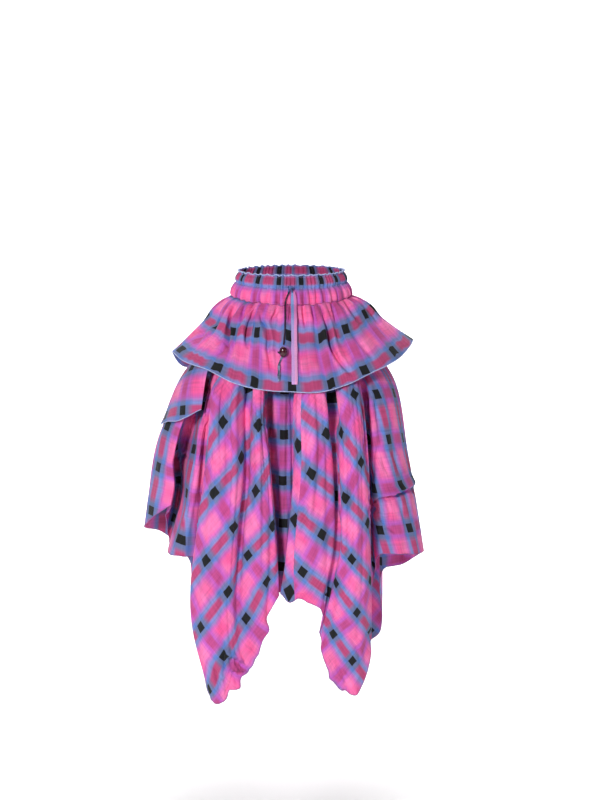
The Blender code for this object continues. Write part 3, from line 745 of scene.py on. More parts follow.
frontCreases = [Crease(*row) for row in (
    (8, 2.6, ((248, 386), (247.5, 430), (247, 470), (244.5, 498), (241.5, 524), (240, 556),
     (238.5, 590), (237, 625))),
    (14, 3, ((208, 376), (207, 400), (206, 428), (204, 462), (201, 500))),
    (19, 4.2, ((206.5, 366), (206.5, 392), (206, 418))),
    (18, 3.6, ((268, 378), (268, 400), (268, 424))),
    (12, 3.4, ((249, 374), (249, 391), (248.5, 408))),
    (21, 4.8, ((329, 378), (331, 396), (333, 412), (335, 430))),
    (11, 3.6, ((364, 378), (365, 400), (366, 430), (368, 456), (370, 484))),
    (7, 2.6, ((378, 446), (376, 462), (373, 480))),
    (6, 2.2, ((214, 392), (213, 430), (209, 476), (204, 530))),
    (-4, 2.6, ((299, 392), (300, 440), (299, 500), (297, 560))),
    (6, 2.4, ((318, 392), (320, 430), (319, 470), (314, 520))),
    (-3, 3, ((226, 384), (224, 430), (220, 480), (215, 540))),
    (3, 3.6, ((233, 392), (232, 440), (228, 500), (222, 560))),
    (4, 2.2, ((262, 400), (263, 450), (263, 520), (262, 575))),
    (13, 2.8, ((331, 390), (331, 420), (335, 449), (337, 480), (338, 510), (338, 542),
     (334, 566), (328, 592), (323, 612))),
    (4, 2.4, ((309, 396), (308, 440), (306, 490), (304, 540))),
    (-3, 2.4, ((350, 396), (354, 440), (357, 500), (359, 560), (359, 620))),
    (4, 2.2, ((343, 392), (347, 430), (349, 480), (347, 540), (343, 600))),
    (2.5, 2.4, ((277, 396), (276.5, 440), (277, 500))),
    (3.5, 2, ((288, 396), (287, 450), (286, 510))),
    (5, 2.2, ((171, 467), (176, 459), (183, 456), (190, 456))),
    (4, 2.2, ((168, 428), (165, 455), (162, 485), (157, 510))),
    (4, 2, ((197, 430), (195, 458), (190, 490), (186, 525))),
    (11, 2.4, ((376, 498.5), (382, 496.5), (388, 496), (394, 494.5), (401, 491.5), (408, 488),
     (416, 486)), True),
    (9, 1.1, ((374, 501), (382, 499.5), (388, 499), (394, 497), (401, 494), (408, 490.5),
     (417, 488))),
    (11, 1.8, ((369, 496), (373, 505), (377, 512), (381, 519), (385, 523))),
    (8, 1.3, ((373, 498), (377, 506), (380, 513), (386, 518))),
    (6, 1.3, ((368, 508), (370, 517), (373, 527))),
    (-5, 1.3, ((371.5, 499), (375.5, 508), (379, 515))),
    (5, 1.5, ((383, 526), (389, 528), (396, 533))),
    (4, 1.5, ((387, 503), (390, 513), (388, 523))),
    (4.5, 1.6, ((381, 456), (384, 465), (389, 474))),
    (4, 1.8, ((392, 452), (397, 463), (399, 476))),
    (4.5, 2, ((374, 398), (378, 420), (381, 444))),
    (4, 2, ((398, 500), (404, 516), (408, 538))),
    (10, 1.8, ((224, 659), (230, 657.5), (236, 658.5), (241, 662), (247, 667)), True),
    (9, 1.5, ((228, 671), (234, 670), (240, 671), (248, 671.5)), True),
    (7, 2.6, ((230, 664), (237, 665), (244, 669))),
    (-8, 1.4, ((226, 652), (227, 661), (228, 669), (225, 675), (219, 681))),
    (5, 1.8, ((214, 664), (217, 678), (221, 692))),
    (5, 1.5, ((233, 674), (230, 684), (226, 694))),
    (5, 1.6, ((243, 618), (250, 628), (256, 640))),
    (5, 1.6, ((249, 640), (250, 650), (248, 660))),
    (5, 1.6, ((326, 655), (335, 664), (343, 676), (349, 688))),
    (4, 1.6, ((352, 640), (358, 652), (361, 668))),
    (5, 1.4, ((334, 672), (339, 669), (345, 670))),
)]
# small shifts of the cloth: place and reach in pixels, then right, forward and up in millimetres
Nudge = namedtuple("Nudge", "x y reach across forward up")
frontNudges = [Nudge(*row) for row in (
    (268, 630, 7, 13, 0, 0),
    (254, 652, 5, 5, 4, 0),
    (250, 664, 5, 4, 6, 0),
    (245, 673, 4, 5, 4, 3),
    (241, 679, 4, 0, 0, 8),
    (238, 687, 4, 9, 6, -4),
    (231, 694, 4, -5, 0, 9),
    (318, 640, 7, 6, 0, 0),
    (333, 676, 4, -6, 0, -4),
    (347, 690, 3, 0, 0, 13),
    (354, 692, 3.5, 4, 0, -3),
    (289, 600, 5, 0, 3, -9),
    (300, 599, 5, 0, -2, 13),
    (416, 489, 4, -11, 0, 0),
    (415, 481, 5, 7, 0, 0),
    (375, 640, 8, -8, 0, 8),
)]
flapNudges = [Nudge(*row) for row in (
    (178, 416, 12, 0, 0, -10),
    (190, 412, 7, 0, 0, -4),
)]
# the back's creases are placed in the same frame seen from behind
backCreases = [Crease(*row) for row in (
    (6, 2.6, ((346, 386), (348, 440), (351, 510), (351, 600))),
    (6, 2.6, ((235, 386), (231, 440), (227, 530), (226, 620))),
    (4, 2.6, ((291, 390), (292, 440), (290, 500), (291, 566))),
    (4, 2.2, ((312, 392), (313, 460), (312, 560))),
    (4, 2.2, ((268, 392), (269, 450), (266, 520), (267, 585))),
    (3, 2.2, ((322, 396), (331, 424), (336, 470), (335, 530))),
    (3, 2.2, ((257, 396), (250, 430), (244, 480), (243, 550))),
    (-3, 2.4, ((360, 392), (364, 450), (367, 540), (366, 620))),
    (-3, 2.4, ((219, 392), (211, 450), (204, 540), (203, 630))),
    (4, 2, ((196, 540), (204, 545), (213, 544), (221, 539)), True),
    (3, 1.8, ((376, 480), (384, 500), (387, 528))),
    (3, 1.8, ((180, 470), (176, 500), (178, 530))),
    (2.5, 1.6, ((300, 430), (304, 450), (303, 478))),
    (3, 2, ((336, 640), (345, 655), (352, 664))),
    (3, 2, ((214, 640), (222, 656), (232, 664))),
)]
backPeplumCreases = [Crease(*row) for row in (
    (7, 2.4, ((246, 300), (241, 318), (236, 336), (232, 352))),
    (6, 2.4, ((272, 303), (270, 322), (266, 345), (263, 366))),
    (4, 2, ((294, 304), (295, 320), (298, 336))),
    (8, 2.4, ((318, 303), (324, 322), (333, 342), (344, 360))),
    (5, 2.2, ((336, 301), (346, 316), (357, 334))),
    (-3, 2, ((306, 303), (309, 326), (314, 350))),
    (4, 2.2, ((226, 308), (216, 322), (206, 338))),
)]
pressed = {
    "faces": (0.0, 0.3),      # how far cloth must face the viewer to be pressed
    "taper": 0.6,
    "lip": 0.35,              # share of the depth that stands up on both sides
    "lipAt": 1.9,             # widths from the line
    "ledgeWidths": 2,
    "ledgeStart": 0.8,        # pixels in which a ledge reaches its height
    "nudgeFaces": (-0.1, 0.2),
}
ripples = {
    "depth": 1.5 * mm,
    "rounds": (59, 83, 127),
}


def pressCreases(grid, creases, fromBehind=False):
    normals = normalsOf(grid, closed=True)
    pixels, _ = seenAt(grid, fromBehind)
    shown = easeBetween(normals[..., 1] * (1 if fromBehind else -1), *pressed["faces"])
    out = np.zeros(grid.shape[:2])
    for crease in creases:
        line = smoothLine(crease.points, 10 * len(crease.points))
        edge = 4 * crease.width
        near = (pixels > line.min(axis=0) - edge) & (pixels < line.max(axis=0) + edge)
        near = near.all(axis=-1) & (shown > 0)
        gaps = np.linalg.norm(pixels[near][:, None, :] - line, axis=-1)
        closest, distance = gaps.argmin(axis=-1), gaps.min(axis=-1)
        along = np.clip(closest / (len(line) - 1), 0.02, 0.98)
        depth = crease.depth * np.sin(np.pi * along) ** pressed["taper"]
        if crease.ledge:
            side = np.where(pixels[near][:, 1] < line[closest, 1], 1.0, -1.0)
            side = side * np.clip(distance / pressed["ledgeStart"], 0, 1)
            wide = pressed["ledgeWidths"] * crease.width
            out[near] += depth * side * np.exp(-((distance / wide) ** 2))
        else:
            trough = np.exp(-((distance / crease.width) ** 2))
            lip = np.exp(-((distance / crease.width - pressed["lipAt"]) ** 2))
            out[near] -= depth * (trough - pressed["lip"] * lip)
    return grid + normals * (out * shown * mm)[..., None]


def nudgeCloth(grid, nudges, closed):
    pixels, _ = seenAt(grid)
    shown = easeBetween(-normalsOf(grid, closed)[..., 1], *pressed["nudgeFaces"])
    for nudge in nudges:
        away = np.hypot(pixels[..., 0] - nudge.x, pixels[..., 1] - nudge.y)
        pull = (np.exp(-((away / nudge.reach) ** 2)) * shown * mm)[..., None]
        grid = grid + pull * np.array([nudge.across, -nudge.forward, nudge.up])
    return grid


def pressRipples(grid):
    # soft uneven ripples down the lower skirt, from the gathers to the hem
    rows, columns = grid.shape[:2]
    angle = np.arange(columns) / columns * 2 * np.pi
    fall = np.linspace(0, 1, rows)[:, None]
    out = np.zeros((rows, columns))
    for number, rounds in enumerate(ripples["rounds"]):
        seed = 1.7 * number + 0.6
        drift = 1.6 * np.sin(3 * angle + 2.6 * fall * (number + 1) + seed)
        drift = drift + 0.9 * np.sin(11 * angle - 5 * fall)
        patch = np.sin(5 * angle + 4.1 * fall + 2 * seed) * np.sin(9 * angle - 3.3 * fall + seed)
        height = (0.35 + 0.65 * np.clip(patch + 0.35, 0, 1)) / (1 + 0.5 * number)
        out += np.sin(rounds * angle + drift) * height
    out *= ripples["depth"] * easeBetween(fall, 0.02, 0.12)
    return grid + normalsOf(grid, closed=True) * out[..., None]


# colours as sRGB values from 0 to 255

tints = {
    "pink": (254, 130, 190),
    "deepPink": (246, 84, 154),
    "violet": (202, 98, 198),
    "mauve": (198, 78, 144),
    "lilac": (134, 142, 206),
    "cornflower": (94, 130, 202),
    "blueGrey": (108, 124, 174),
    "slate": (106, 118, 164),
    "crimson": (194, 74, 126),
    "black": (21, 23, 26),
}
# spun threads and cords: both their colours, and how fine the change between them is
threads = {
    "hem_thread": ((202, 210, 240), (150, 164, 222), 300),
    "lower_hem_thread": ((178, 96, 160), (120, 84, 150), 120),
    "seam_thread": ((150, 156, 214), (198, 132, 196), 200),
    "navy_cord": ((38, 44, 84), (84, 112, 176), 160),
    "maroon_cord": ((58, 14, 52), (26, 14, 44), 500),
    "slate_cord": ((46, 50, 78), (156, 172, 208), 90),
}


def toLinear(colour):
    shares = [value / 255 for value in colour]
    return (*(v / 12.92 if v <= 0.04045 else ((v + 0.055) / 1.055) ** 2.4 for v in shares), 1)


def tint(name):
    return toLinear(tints[name])


class NodeSet:
    # a material's nodes, added one by one
    def __init__(self, name):
        self.material = bpy.data.materials.new(name)
        self.material.use_nodes = True
        self.tree = self.material.node_tree
        self.shader = self.tree.nodes["Principled BSDF"]

    def add(self, kind, values=None, **settings):
        node = self.tree.nodes.new(kind)
        for key, value in settings.items():
            setattr(node, key, value)
        for key, value in (values or {}).items():
            if isinstance(value, bpy.types.NodeSocket):
                self.tree.links.new(value, node.inputs[key])
            else:
                node.inputs[key].default_value = value
        return node

    def work(self, operation, *values):
        # one step of arithmetic
        return self.add("ShaderNodeMath", dict(enumerate(values)), operation=operation).outputs[0]

    def plus(self, one, other):
        return self.work("ADD", one, other)

    def times(self, one, other):
        return self.work("MULTIPLY", one, other)

    def blend(self, share, one, other):
        values = {0: share, 6: one, 7: other}
        return self.add("ShaderNodeMix", values, data_type="RGBA").outputs[2]

    def ramp(self, value, low, high, start, end, **settings):
        values = {0: value, 1: low, 2: high, 3: start, 4: end}
        return self.add("ShaderNodeMapRange", values, **settings).outputs[0]

    def lay(self, name):
        # both directions of a UV map
        place = self.add("ShaderNodeUVMap", uv_map=name).outputs["UV"]
        split = self.add("ShaderNodeSeparateXYZ", {0: place})
        return split.outputs["X"], split.outputs["Y"]

    def noise(self, place, scale, detail=2.0):
        values = {"Vector": place, "Scale": scale, "Detail": detail}
        return self.add("ShaderNodeTexNoise", values).outputs["Fac"]

    def grain(self, scale, detail=2.0):
        return self.noise(self.add("ShaderNodeTexCoord").outputs["Object"], scale, detail)

    def lighten(self, light, colour):
        values = {"Value": light, "Color": colour, "Fac": 1.0}
        return self.add("ShaderNodeHueSaturation", values).outputs[0]

    def roughen(self, height, strength, distance):
        values = {"Strength": strength, "Distance": distance, "Height": height}
        bump = self.add("ShaderNodeBump", values)
        self.tree.links.new(bump.outputs[0], self.shader.inputs["Normal"])

    def finish(self, colour, **values):
        # the colour is plugged in; the shader's other values are even all over
        self.tree.links.new(colour, self.shader.inputs["Base Color"])
        for name, value in values.items():
            self.shader.inputs[name.replace("_", " ")].default_value = value
        return self.material


check = {
    "darkHalf": 11 * mm,      # half the width of a dark stripe
    "squareHalf": 14 * mm,    # within which a black square has crisp edges
    "flank": 28 * mm,         # from a dark stripe's middle to where the colour beside it fades
    "crossFlank": 23 * mm,    # the same beside the paler stripes that cross them
    "crisp": 0.9 * mm,        # how quickly a dark stripe starts
    "fade": 10 * mm,          # how slowly the colour beside it goes into the pink
    "glow": 7 * mm,           # how far a violet tinge reaches past the blue
    "glowShare": 0.6,
    "wander": 0.016,          # of the stripes, in repeats
    "uneven": 12 * mm,        # the dye reaches further in some places than in others
    "weave": 7500,            # how close the threads lie
    "bump": (0.5, 1.2 * mm),  # strength and height
    # how fine each unevenness is across and down the cloth, its detail and its own place
    "noises": {
        "wander": (18, 18, 2, 0),
        "uneven": (60, 9, 2, 3),
        "deeper": (16, 16, 2, 17),
        "threads": (1400, 24, 1, 0),
        "crossThreads": (24, 1400, 1, 5),
        "slubs": (210, 6, 1, 7),
        "crossSlubs": (6, 210, 1, 9),
        "light": (14, 14, 2, 11),
        "puckers": (34, 34, 3, 13),
    },
}


def makeCheckCotton():
    nodes = NodeSet("check_cotton")
    u, v = nodes.lay("clothLay")
    dark, flank, crisp, fade = (check[name] for name in ("darkHalf", "flank", "crisp", "fade"))

    def noise(name):
        scaleU, scaleV, detail, shift = check["noises"][name]
        place = nodes.add("ShaderNodeCombineXYZ", {
            "X": nodes.times(u, scaleU), "Y": nodes.times(v, scaleV), "Z": shift})
        return nodes.noise(place.outputs[0], 1.0, detail)

    def stripeDistance(along, waver):
        # metres from the middle of the nearest stripe
        place = nodes.plus(nodes.work("DIVIDE", along, cloth["repeat"]), waver)
        offset = nodes.plus(nodes.work("FRACT", nodes.plus(place, 0.5)), -0.5)
        return nodes.times(nodes.work("ABSOLUTE", offset), cloth["repeat"])

    def within(distance, reach, softness):
        # 1 inside a stripe of this reach, 0 outside it
        return nodes.ramp(distance, reach - softness, reach + softness, 1.0, 0.0,
                          interpolation_type="SMOOTHSTEP")

    wander = nodes.times(nodes.plus(noise("wander"), -0.5), check["wander"])
    du, dv = stripeDistance(u, wander), stripeDistance(v, wander)
    uneven = nodes.times(nodes.plus(noise("uneven"), -0.5), check["uneven"])
    duFlank, dvFlank = nodes.plus(du, uneven), nodes.plus(dv, uneven)
    # between the dark rows: pink, deeper in some places and violet before it meets the blue
    deeper = nodes.ramp(noise("deeper"), 0.40, 0.64, 0.0, 0.8)
    ground = nodes.blend(deeper, tint("pink"), tint("deepPink"))
    ground = nodes.blend(within(duFlank, check["crossFlank"], fade), ground, tint("violet"))
    ground = nodes.blend(within(du, dark, 4 * crisp), ground, tint("mauve"))
    glow = within(dvFlank, flank + check["glow"], check["glow"])
    ground = nodes.blend(nodes.times(glow, check["glowShare"]), ground, tint("violet"))
    # beside a dark row, and the row itself with its black squares
    beside = nodes.blend(within(duFlank, flank, fade), tint("lilac"), tint("cornflower"))
    beside = nodes.blend(within(du, dark, 2.2 * crisp), beside, tint("blueGrey"))
    row = within(duFlank, flank - 0.2 * fade, 0.9 * fade)
    row = nodes.blend(row, tint("crimson"), tint("slate"))
    row = nodes.blend(within(du, dark, crisp), row, tint("black"))
    colour = nodes.blend(within(dvFlank, flank - 0.3 * fade, 0.8 * fade), ground, beside)
    softRow = nodes.blend(within(dv, dark, 4.2 * crisp), colour, row)
    crispRow = nodes.blend(within(dv, dark, crisp), colour, row)
    square = nodes.times(*(within(d, check["squareHalf"], crisp) for d in (du, dv)))
    colour = nodes.blend(square, softRow, crispRow)
    # single threads both ways, and the lighter and darker lines of slubs
    single = nodes.plus(noise("threads"), noise("crossThreads"))
    slubs = nodes.plus(noise("slubs"), noise("crossSlubs"))
    light = nodes.plus(nodes.times(single, 0.5), nodes.plus(slubs, noise("light")))
    light = nodes.ramp(light, 1.35, 2.65, 0.75, 1.25)
    weave = nodes.times(*(nodes.work("SINE", nodes.times(way, check["weave"])) for way in (u, v)))
    height = nodes.plus(nodes.times(weave, 0.1), nodes.times(slubs, 0.4))
    height = nodes.plus(height, nodes.times(noise("puckers"), 4.0))
    nodes.roughen(height, *check["bump"])
    return nodes.finish(nodes.lighten(light, colour), Roughness=0.78, Sheen_Weight=0.08,
                        Sheen_Roughness=0.5, Specular_IOR_Level=0.28)


def makeThread(name):
    # a little uneven along its length
    one, other, scale = threads[name]
    nodes = NodeSet(name)
    grain = nodes.grain(scale)
    shade = nodes.blend(nodes.ramp(grain, 0.3, 0.7, 0.0, 1.0), toLinear(one), toLinear(other))
    nodes.roughen(grain, 0.4, 0.4 * mm)
    return nodes.finish(shade, Roughness=0.6)


def makeTieCotton():
    # one half shows the check's blue and the other its pink, both deeper at the top
    nodes = NodeSet("flat_tie")
    across, along = nodes.lay("threadLay")
    left = nodes.work("COSINE", nodes.times(across, 2 * math.pi))
    half = nodes.ramp(left, -0.12, 0.12, 0.0, 1.0)
    high = nodes.ramp(along, 45 * mm, 140 * mm, 1.0, 0.0)
    pinkSide = nodes.blend(high, toLinear((232, 160, 214)), toLinear((216, 120, 184)))
    blueSide = nodes.blend(high, toLinear((206, 158, 222)), toLinear((120, 146, 204)))
    weave = nodes.grain(700.0)
    light = nodes.ramp(weave, 0.3, 0.7, 0.84, 1.12)
    nodes.roughen(weave, 0.3, 0.4 * mm)
    shade = nodes.lighten(light, nodes.blend(half, blueSide, pinkSide))
    return nodes.finish(shade, Roughness=0.7)


def makeBeadGloss():
    nodes = NodeSet("glossy_bead")
    shade = nodes.blend(nodes.grain(90.0, 3.0), toLinear((34, 4, 16)), toLinear((84, 8, 34)))
    return nodes.finish(shade, Roughness=0.22, Coat_Weight=0.25, Coat_Roughness=0.12)


# shells, tubes and flat ribbons

def meshOf(name, points, faces):
    mesh = bpy.data.meshes.new(name)
    mesh.from_pydata(np.reshape(points, (-1, 3)).tolist(), [], faces)
    return mesh


def addPiece(mesh, material):
    mesh.materials.append(material)
    mesh.shade_smooth()
    piece = bpy.data.objects.new(mesh.name, mesh)
    bpy.context.scene.collection.objects.link(piece)
    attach(piece, "root")
    return piece


def makeShell(name, grid, lays, material):
    # a piece of cloth from its grid; lays holds (first column, last column, place in the check)
    rows, columns = grid.shape[:2]
    corners = ((0, 0), (1, 0), (1, 1), (0, 1))
    number = np.arange(rows * columns).reshape(rows, columns)
    quads = [number[r:rows - 1 + r, c:columns - 1 + c] for r, c in corners]
    mesh = meshOf(name, grid, np.stack(quads, axis=-1).reshape(-1, 4).tolist())
    places = np.zeros((rows - 1, columns - 1, 4, 2))
    for first, last, lay in lays:
        for k, (r, c) in enumerate(corners):
            places[:, first:last, k] = lay[r:rows - 1 + r, c:lay.shape[1] - 1 + c]
    mesh.uv_layers.new(name="clothLay").data.foreach_set("uv", places.ravel())
    piece = addPiece(mesh, material)
    wall = piece.modifiers.new("Wall", "SOLIDIFY")
    wall.thickness = cloth["wall"]
    wall.offset = 0
    return piece


def closeRing(grid):
    return np.concatenate([grid, grid[:, :1]], axis=1)


def cutPiece(ring, first, last, gap):
    # columns first to last of a ring, its two edges drawn in by half a seam's gap
    piece = ring[:, np.arange(first, last + 1) % ring.shape[1]].copy()
    for edge, inner in ((0, 1), (-1, -2)):
        step = piece[:, inner] - piece[:, edge]
        length = np.linalg.norm(step, axis=-1, keepdims=True)
        piece[:, edge] += step / length * np.minimum(gap / 2, length * 0.4)
    return piece


def circle(sides):
    turn = np.arange(sides) / sides * 2 * np.pi
    return np.stack([np.cos(turn), np.sin(turn)], axis=-1)


def tubeFaces(count, sides, first=0):
    # faces of a tube of this many rings, closed at both ends
    corner = first + np.arange(count * sides).reshape(count, sides)
    following = np.roll(corner, -1, axis=1)
    walls = np.stack([corner[:-1], following[:-1], following[1:], corner[1:]], axis=-1)
    return [*walls.reshape(-1, 4).tolist(), corner[0][::-1].tolist(), corner[-1].tolist()]


def sweep(name, line, profile, material):
    # a closed tube: profile gives (across, outwards) for each point of the line and step round it
    tangent = unit(np.gradient(line, axis=0))
    across = unit(np.cross(tangent, np.array([0, -1.0, 0.001])))
    out = np.cross(across, tangent)
    count, sides = profile.shape[:2]
    rings = line[:, None] + profile[..., :1] * across[:, None] + profile[..., 1:] * out[:, None]
    mesh = meshOf(name, rings, tubeFaces(count, sides))
    vertex = np.zeros(len(mesh.loops), np.int32)
    mesh.loops.foreach_get("vertex_index", vertex)
    places = np.stack([vertex % sides / sides, runAlong(line)[vertex // sides]], axis=-1)
    mesh.uv_layers.new(name="threadLay").data.foreach_set("uv", places.ravel())
    bm = bmesh.new()
    bm.from_mesh(mesh)
    bmesh.ops.recalc_face_normals(bm, faces=bm.faces)
    bm.to_mesh(mesh)
    bm.free()
    return addPiece(mesh, material)


def roundProfile(count, sides, radius):
    return np.broadcast_to(circle(sides), (count, sides, 2)) * np.reshape(radius, (-1, 1, 1))


hems = {
    "radius": 1.0 * mm,
    "uneven": 0.12,
    "wave": 1.9,          # how quickly it gets thicker and thinner
    "sides": 6,
    "sinks": 0.4 * mm,    # the roll wraps the cloth's edge
}


def makeHem(name, grid, material, every=2):
    line = grid[-1] + unit(grid[-2] - grid[-1]) * hems["sinks"]
    line = line[everyFew(len(line), every)]
    thick = hems["radius"] * (1 + hems["uneven"] * np.sin(np.arange(len(line)) * hems["wave"]))
    profile = roundProfile(len(line), hems["sides"], thick)
    return sweep(name, line, profile, material)


stitching = {
    "length": 3.4 * mm,
    "gap": 1.4 * mm,
    "thick": 0.32 * mm,
    "sides": 5,
    # share of the length, height over the cloth in millimetres, share of the thickness
    "shape": ((0, -0.2, 0.5), (0.12, 0.45, 0.95), (0.5, 0.6, 1), (0.88, 0.45, 0.95),
              (1, -0.2, 0.5)),
}


def makeStitches(name, line, out, material):
    # a row of single stitches along a closed line, a little proud of the cloth
    run = runAlong(line)
    pitch = stitching["length"] + stitching["gap"]
    reach, height, thick = np.array(stitching["shape"]).T[..., None]
    ring = circle(stitching["sides"])
    stitches, faces = [], []
    for number in range(int(run[-1] / pitch)):
        places = number * pitch + reach[:, 0] * stitching["length"]
        rise = readAlong(places, run, out)
        centre = readAlong(places, run, line) + rise * height * mm
        side = np.cross(unit(centre[-1] - centre[0]), rise)
        offset = ring[:, :1] * side[:, None] + ring[:, 1:] * rise[:, None]
        stitches.append(centre[:, None] + stitching["thick"] * thick[..., None] * offset)
        faces += tubeFaces(len(reach), len(ring), number * len(reach) * len(ring))
    return addPiece(meshOf(name, stitches, faces), material)


placeCamera()

# the band's and the peplum's cloth, which the drawstring lies on

bandTurns = np.append(ringTurns(band["columns"]), 180)
bandGrid = closeRing(bandSurface(*np.meshgrid(bandTurns[:-1], np.linspace(0, 1, band["rows"]))))
peplumShares = np.linspace(0, 1, peplum["rows"])
smoothPeplum = peplumSurface(*np.meshgrid(ringTurns(peplum["columns"]), peplumShares))
peplumRing = pressCreases(smoothPeplum, peplumCreases)
peplumRing = pressCreases(peplumRing, backPeplumCreases, fromBehind=True)

print("drawstring")
# routes are x and z in millimetres; how far forward comes from the cloth. Points are counts:
# along a route as it is felt out and as it is made, or along a piece and round it
drawstring = {
    "knot": (-2, -30.5),
    "knotThick": 3.8 * mm,
    "knotLoops": ((-4.5, 0.5, -8.5), (-4.2, -1.5, -4), (-3.2, -3.2, 1), (0.5, -3.6, 5.4),
                  (4, -1.6, 5.6), (4.6, 0.6, 2.6), (1.6, 1.2, 0.4), (-2.6, 0.8, 2.6),
                  (-4.8, -1.2, 5.4), (-2.6, -3.4, 7.6), (1.4, -3.8, 3.4), (3.2, -3.4, -1.6),
                  (4.6, -1.4, -5.6), (5.4, 0.2, -8)),
    "knotReach": (6 * mm, 7 * mm),    # of the cloth it touches: to the side, and up and down
    "knotOff": 3.6 * mm,
    "knotPoints": (180, 10),
    "knotTwist": (9, 0.2),
    "cord": ((-5, -37), (-9, -45), (-12, -54), (-14, -66), (-14, -79), (-14, -100), (-14.5, -120),
             (-16, -137), (-17.4, -150.5)),
    "cordThick": 4.0 * mm,
    "cordPoints": (60, 300),
    "cordTwist": (12, 0.22),         # turns, and depth between strands
    "strands": 3,
    "bead": (-18, -164),
    "beadSize": (18, 14, 24),
    "beadReach": 8 * mm,
    "beadPoints": (50, 40),
    # a barrel with a collar at each end, as shares of the bead's half width and half height
    "barrel": ((0, -1), (0.30, -1), (0.36, -0.97), (0.40, -0.90), (0.62, -0.80), (0.86, -0.52),
               (0.98, -0.2), (1, 0.02), (0.97, 0.24), (0.84, 0.56), (0.60, 0.82), (0.40, 0.90),
               (0.36, 0.97), (0.30, 1), (0, 1)),
    # the cord's knotted end beside the bead: right and up in millimetres, forward in half depths
    "beadEnd": ((-4, 0.5, -2), (-9, 0.7, -1), (-12.5, 0.4, 1)),
    "beadEndThick": 4.6 * mm,
    "beadEndPoints": (16, 10),
    "tail": ((-20.5, -176), (-24.5, -184), (-27, -192), (-28, -204), (-27.5, -214), (-27, -227)),
    "tailWide": 6.0 * mm,
    "tailThick": 2.8 * mm,
    "tailFlat": 0.34,
    "tailHalf": (2.6, 1.2, 9, 1.2),  # half width, crumples, their beat, more at the end
    "tailLean": (1.1, 8.5),          # how far it twists to and fro, and the beat
    "tailPoints": (24, 120),
    "tie": ((4, -35), (5, -42), (5.5, -52), (6, -66), (6.2, -79), (6.5, -92), (6.5, -110),
            (7, -140), (7.5, -180), (8, -205), (8, -234)),
    "tieWide": 14 * mm,
    "tieThick": 1.1 * mm,
    "tiePoints": (70, 220),
    "tieNeck": (0.62, 0.10),         # share of its width in the knot, and where it is whole
    "tieCrumples": ((0.04, 23, 0), (0.03, 41, 1)),
    # folded once along its length: half widths across, thicknesses out
    "tieSection": ((-1, 0), (-0.9, 0.55), (-0.4, 0.75), (0, 0.45), (0.3, 0.85), (0.9, 0.7),
                   (1, 0.1), (0.9, -0.5), (0.3, -0.55), (0, -0.5), (-0.4, -0.55), (-0.9, -0.5)),
    "sides": 12,
    "off": 0.9 * mm,      # clear of the cloth
    "seenWidth": 60 * mm,            # of the cloth to each side that it can lie on
    "seek": (1.5 * mm, 2.5 * mm),    # how far round a point the cloth is felt, across and up
}
rowsBetween = []
for grid in (bandGrid, peplumRing):
    grid = grid[:, (grid[0, :, 1] < 0) & (abs(grid[0, :, 0]) < drawstring["seenWidth"])]
    for part in (0, 0.25, 0.5, 0.75):
        rowsBetween.append((grid[:-1] * (1 - part) + grid[1:] * part).reshape(-1, 3))
clothFront = np.concatenate(rowsBetween)


def frontOf(x, z, halfWidth):
    across, up = drawstring["seek"]
    near = (abs(clothFront[:, 0] - x) < halfWidth + across) & (abs(clothFront[:, 2] - z) < up)
    return clothFront[near, 1].min()


def frontAround(x, z, halfWidth, reach):
    return min(frontOf(x, z + rise, halfWidth) for rise in (-reach, 0, reach))


def layOver(route, halfWidth, halfThick, coarse, fine):
    # a smooth line over the front of the cloth, bridging its small hollows as a cord does
    line = spreadAlong([(x * mm, 0, z * mm) for x, z in route], np.linspace(0, 1, coarse))
    front = np.array([frontOf(x, z, halfWidth) for x, _, z in line])
    front = np.array([front[max(0, k - 2):k + 3].min() for k in range(coarse)])
    for _ in range(3):
        front[1:-1] = np.minimum(front[1:-1], (front[:-2] + front[2:]) / 2)
    line[:, 1] = front - halfThick - drawstring["off"]
    line[1:-1, 1] = (line[:-2, 1] + 2 * line[1:-1, 1] + line[2:, 1]) / 4
    return smoothLine(line, fine)


def twisted(count, sides, radius, turnsRound, depth):
    # the section of a cord of a few strands, turning as it goes
    turn = np.arange(sides) / sides * 2 * np.pi
    along = np.linspace(0, turnsRound * 2 * np.pi, count)[:, None]
    strands = np.abs(np.cos(drawstring["strands"] * (turn + along) / 2))
    reach = radius * (1 - depth + depth * strands)
    return circle(sides) * reach[..., None]


def makeLeftCord(material):
    half = drawstring["cordThick"] / 2
    line = layOver(drawstring["cord"], half, half, *drawstring["cordPoints"])
    profile = twisted(len(line), drawstring["sides"], half, *drawstring["cordTwist"])
    return sweep("cord_left", line, profile, material)


def makeBead(cord):
    # the bead, and the cord's knotted end beside it
    x, z = (value * mm for value in drawstring["bead"])
    wide, deep, high = (value * mm / 2 for value in drawstring["beadSize"])
    y = frontAround(x, z, wide, drawstring["beadReach"]) - deep - drawstring["off"]
    count, sides = drawstring["beadPoints"]
    outline = smoothLine(drawstring["barrel"], count)
    ring = circle(sides) * (wide, deep)
    reach = np.clip(outline[:, :1], 0.02, 1)
    rings = np.stack(np.broadcast_arrays(
        x + reach * ring[:, 0], y + reach * ring[:, 1], z + high * outline[:, 1:]), axis=-1)
    mesh = meshOf("bead", rings, tubeFaces(count, sides))
    bead = addPiece(mesh, makeBeadGloss())
    count, sides = drawstring["beadEndPoints"]
    stub = [(x + a * mm, y - deep * b, z + c * mm) for a, b, c in drawstring["beadEnd"]]
    swell = np.sin(np.linspace(0.5, math.pi - 0.15, count))
    thick = drawstring["beadEndThick"] / 2 * np.sqrt(np.clip(swell, 0.05, 1))
    profile = roundProfile(count, sides, thick)
    line = spreadAlong(stub, np.linspace(0, 1, count))
    end = sweep("bead_cord_end", line, profile, cord)
    return bead, end


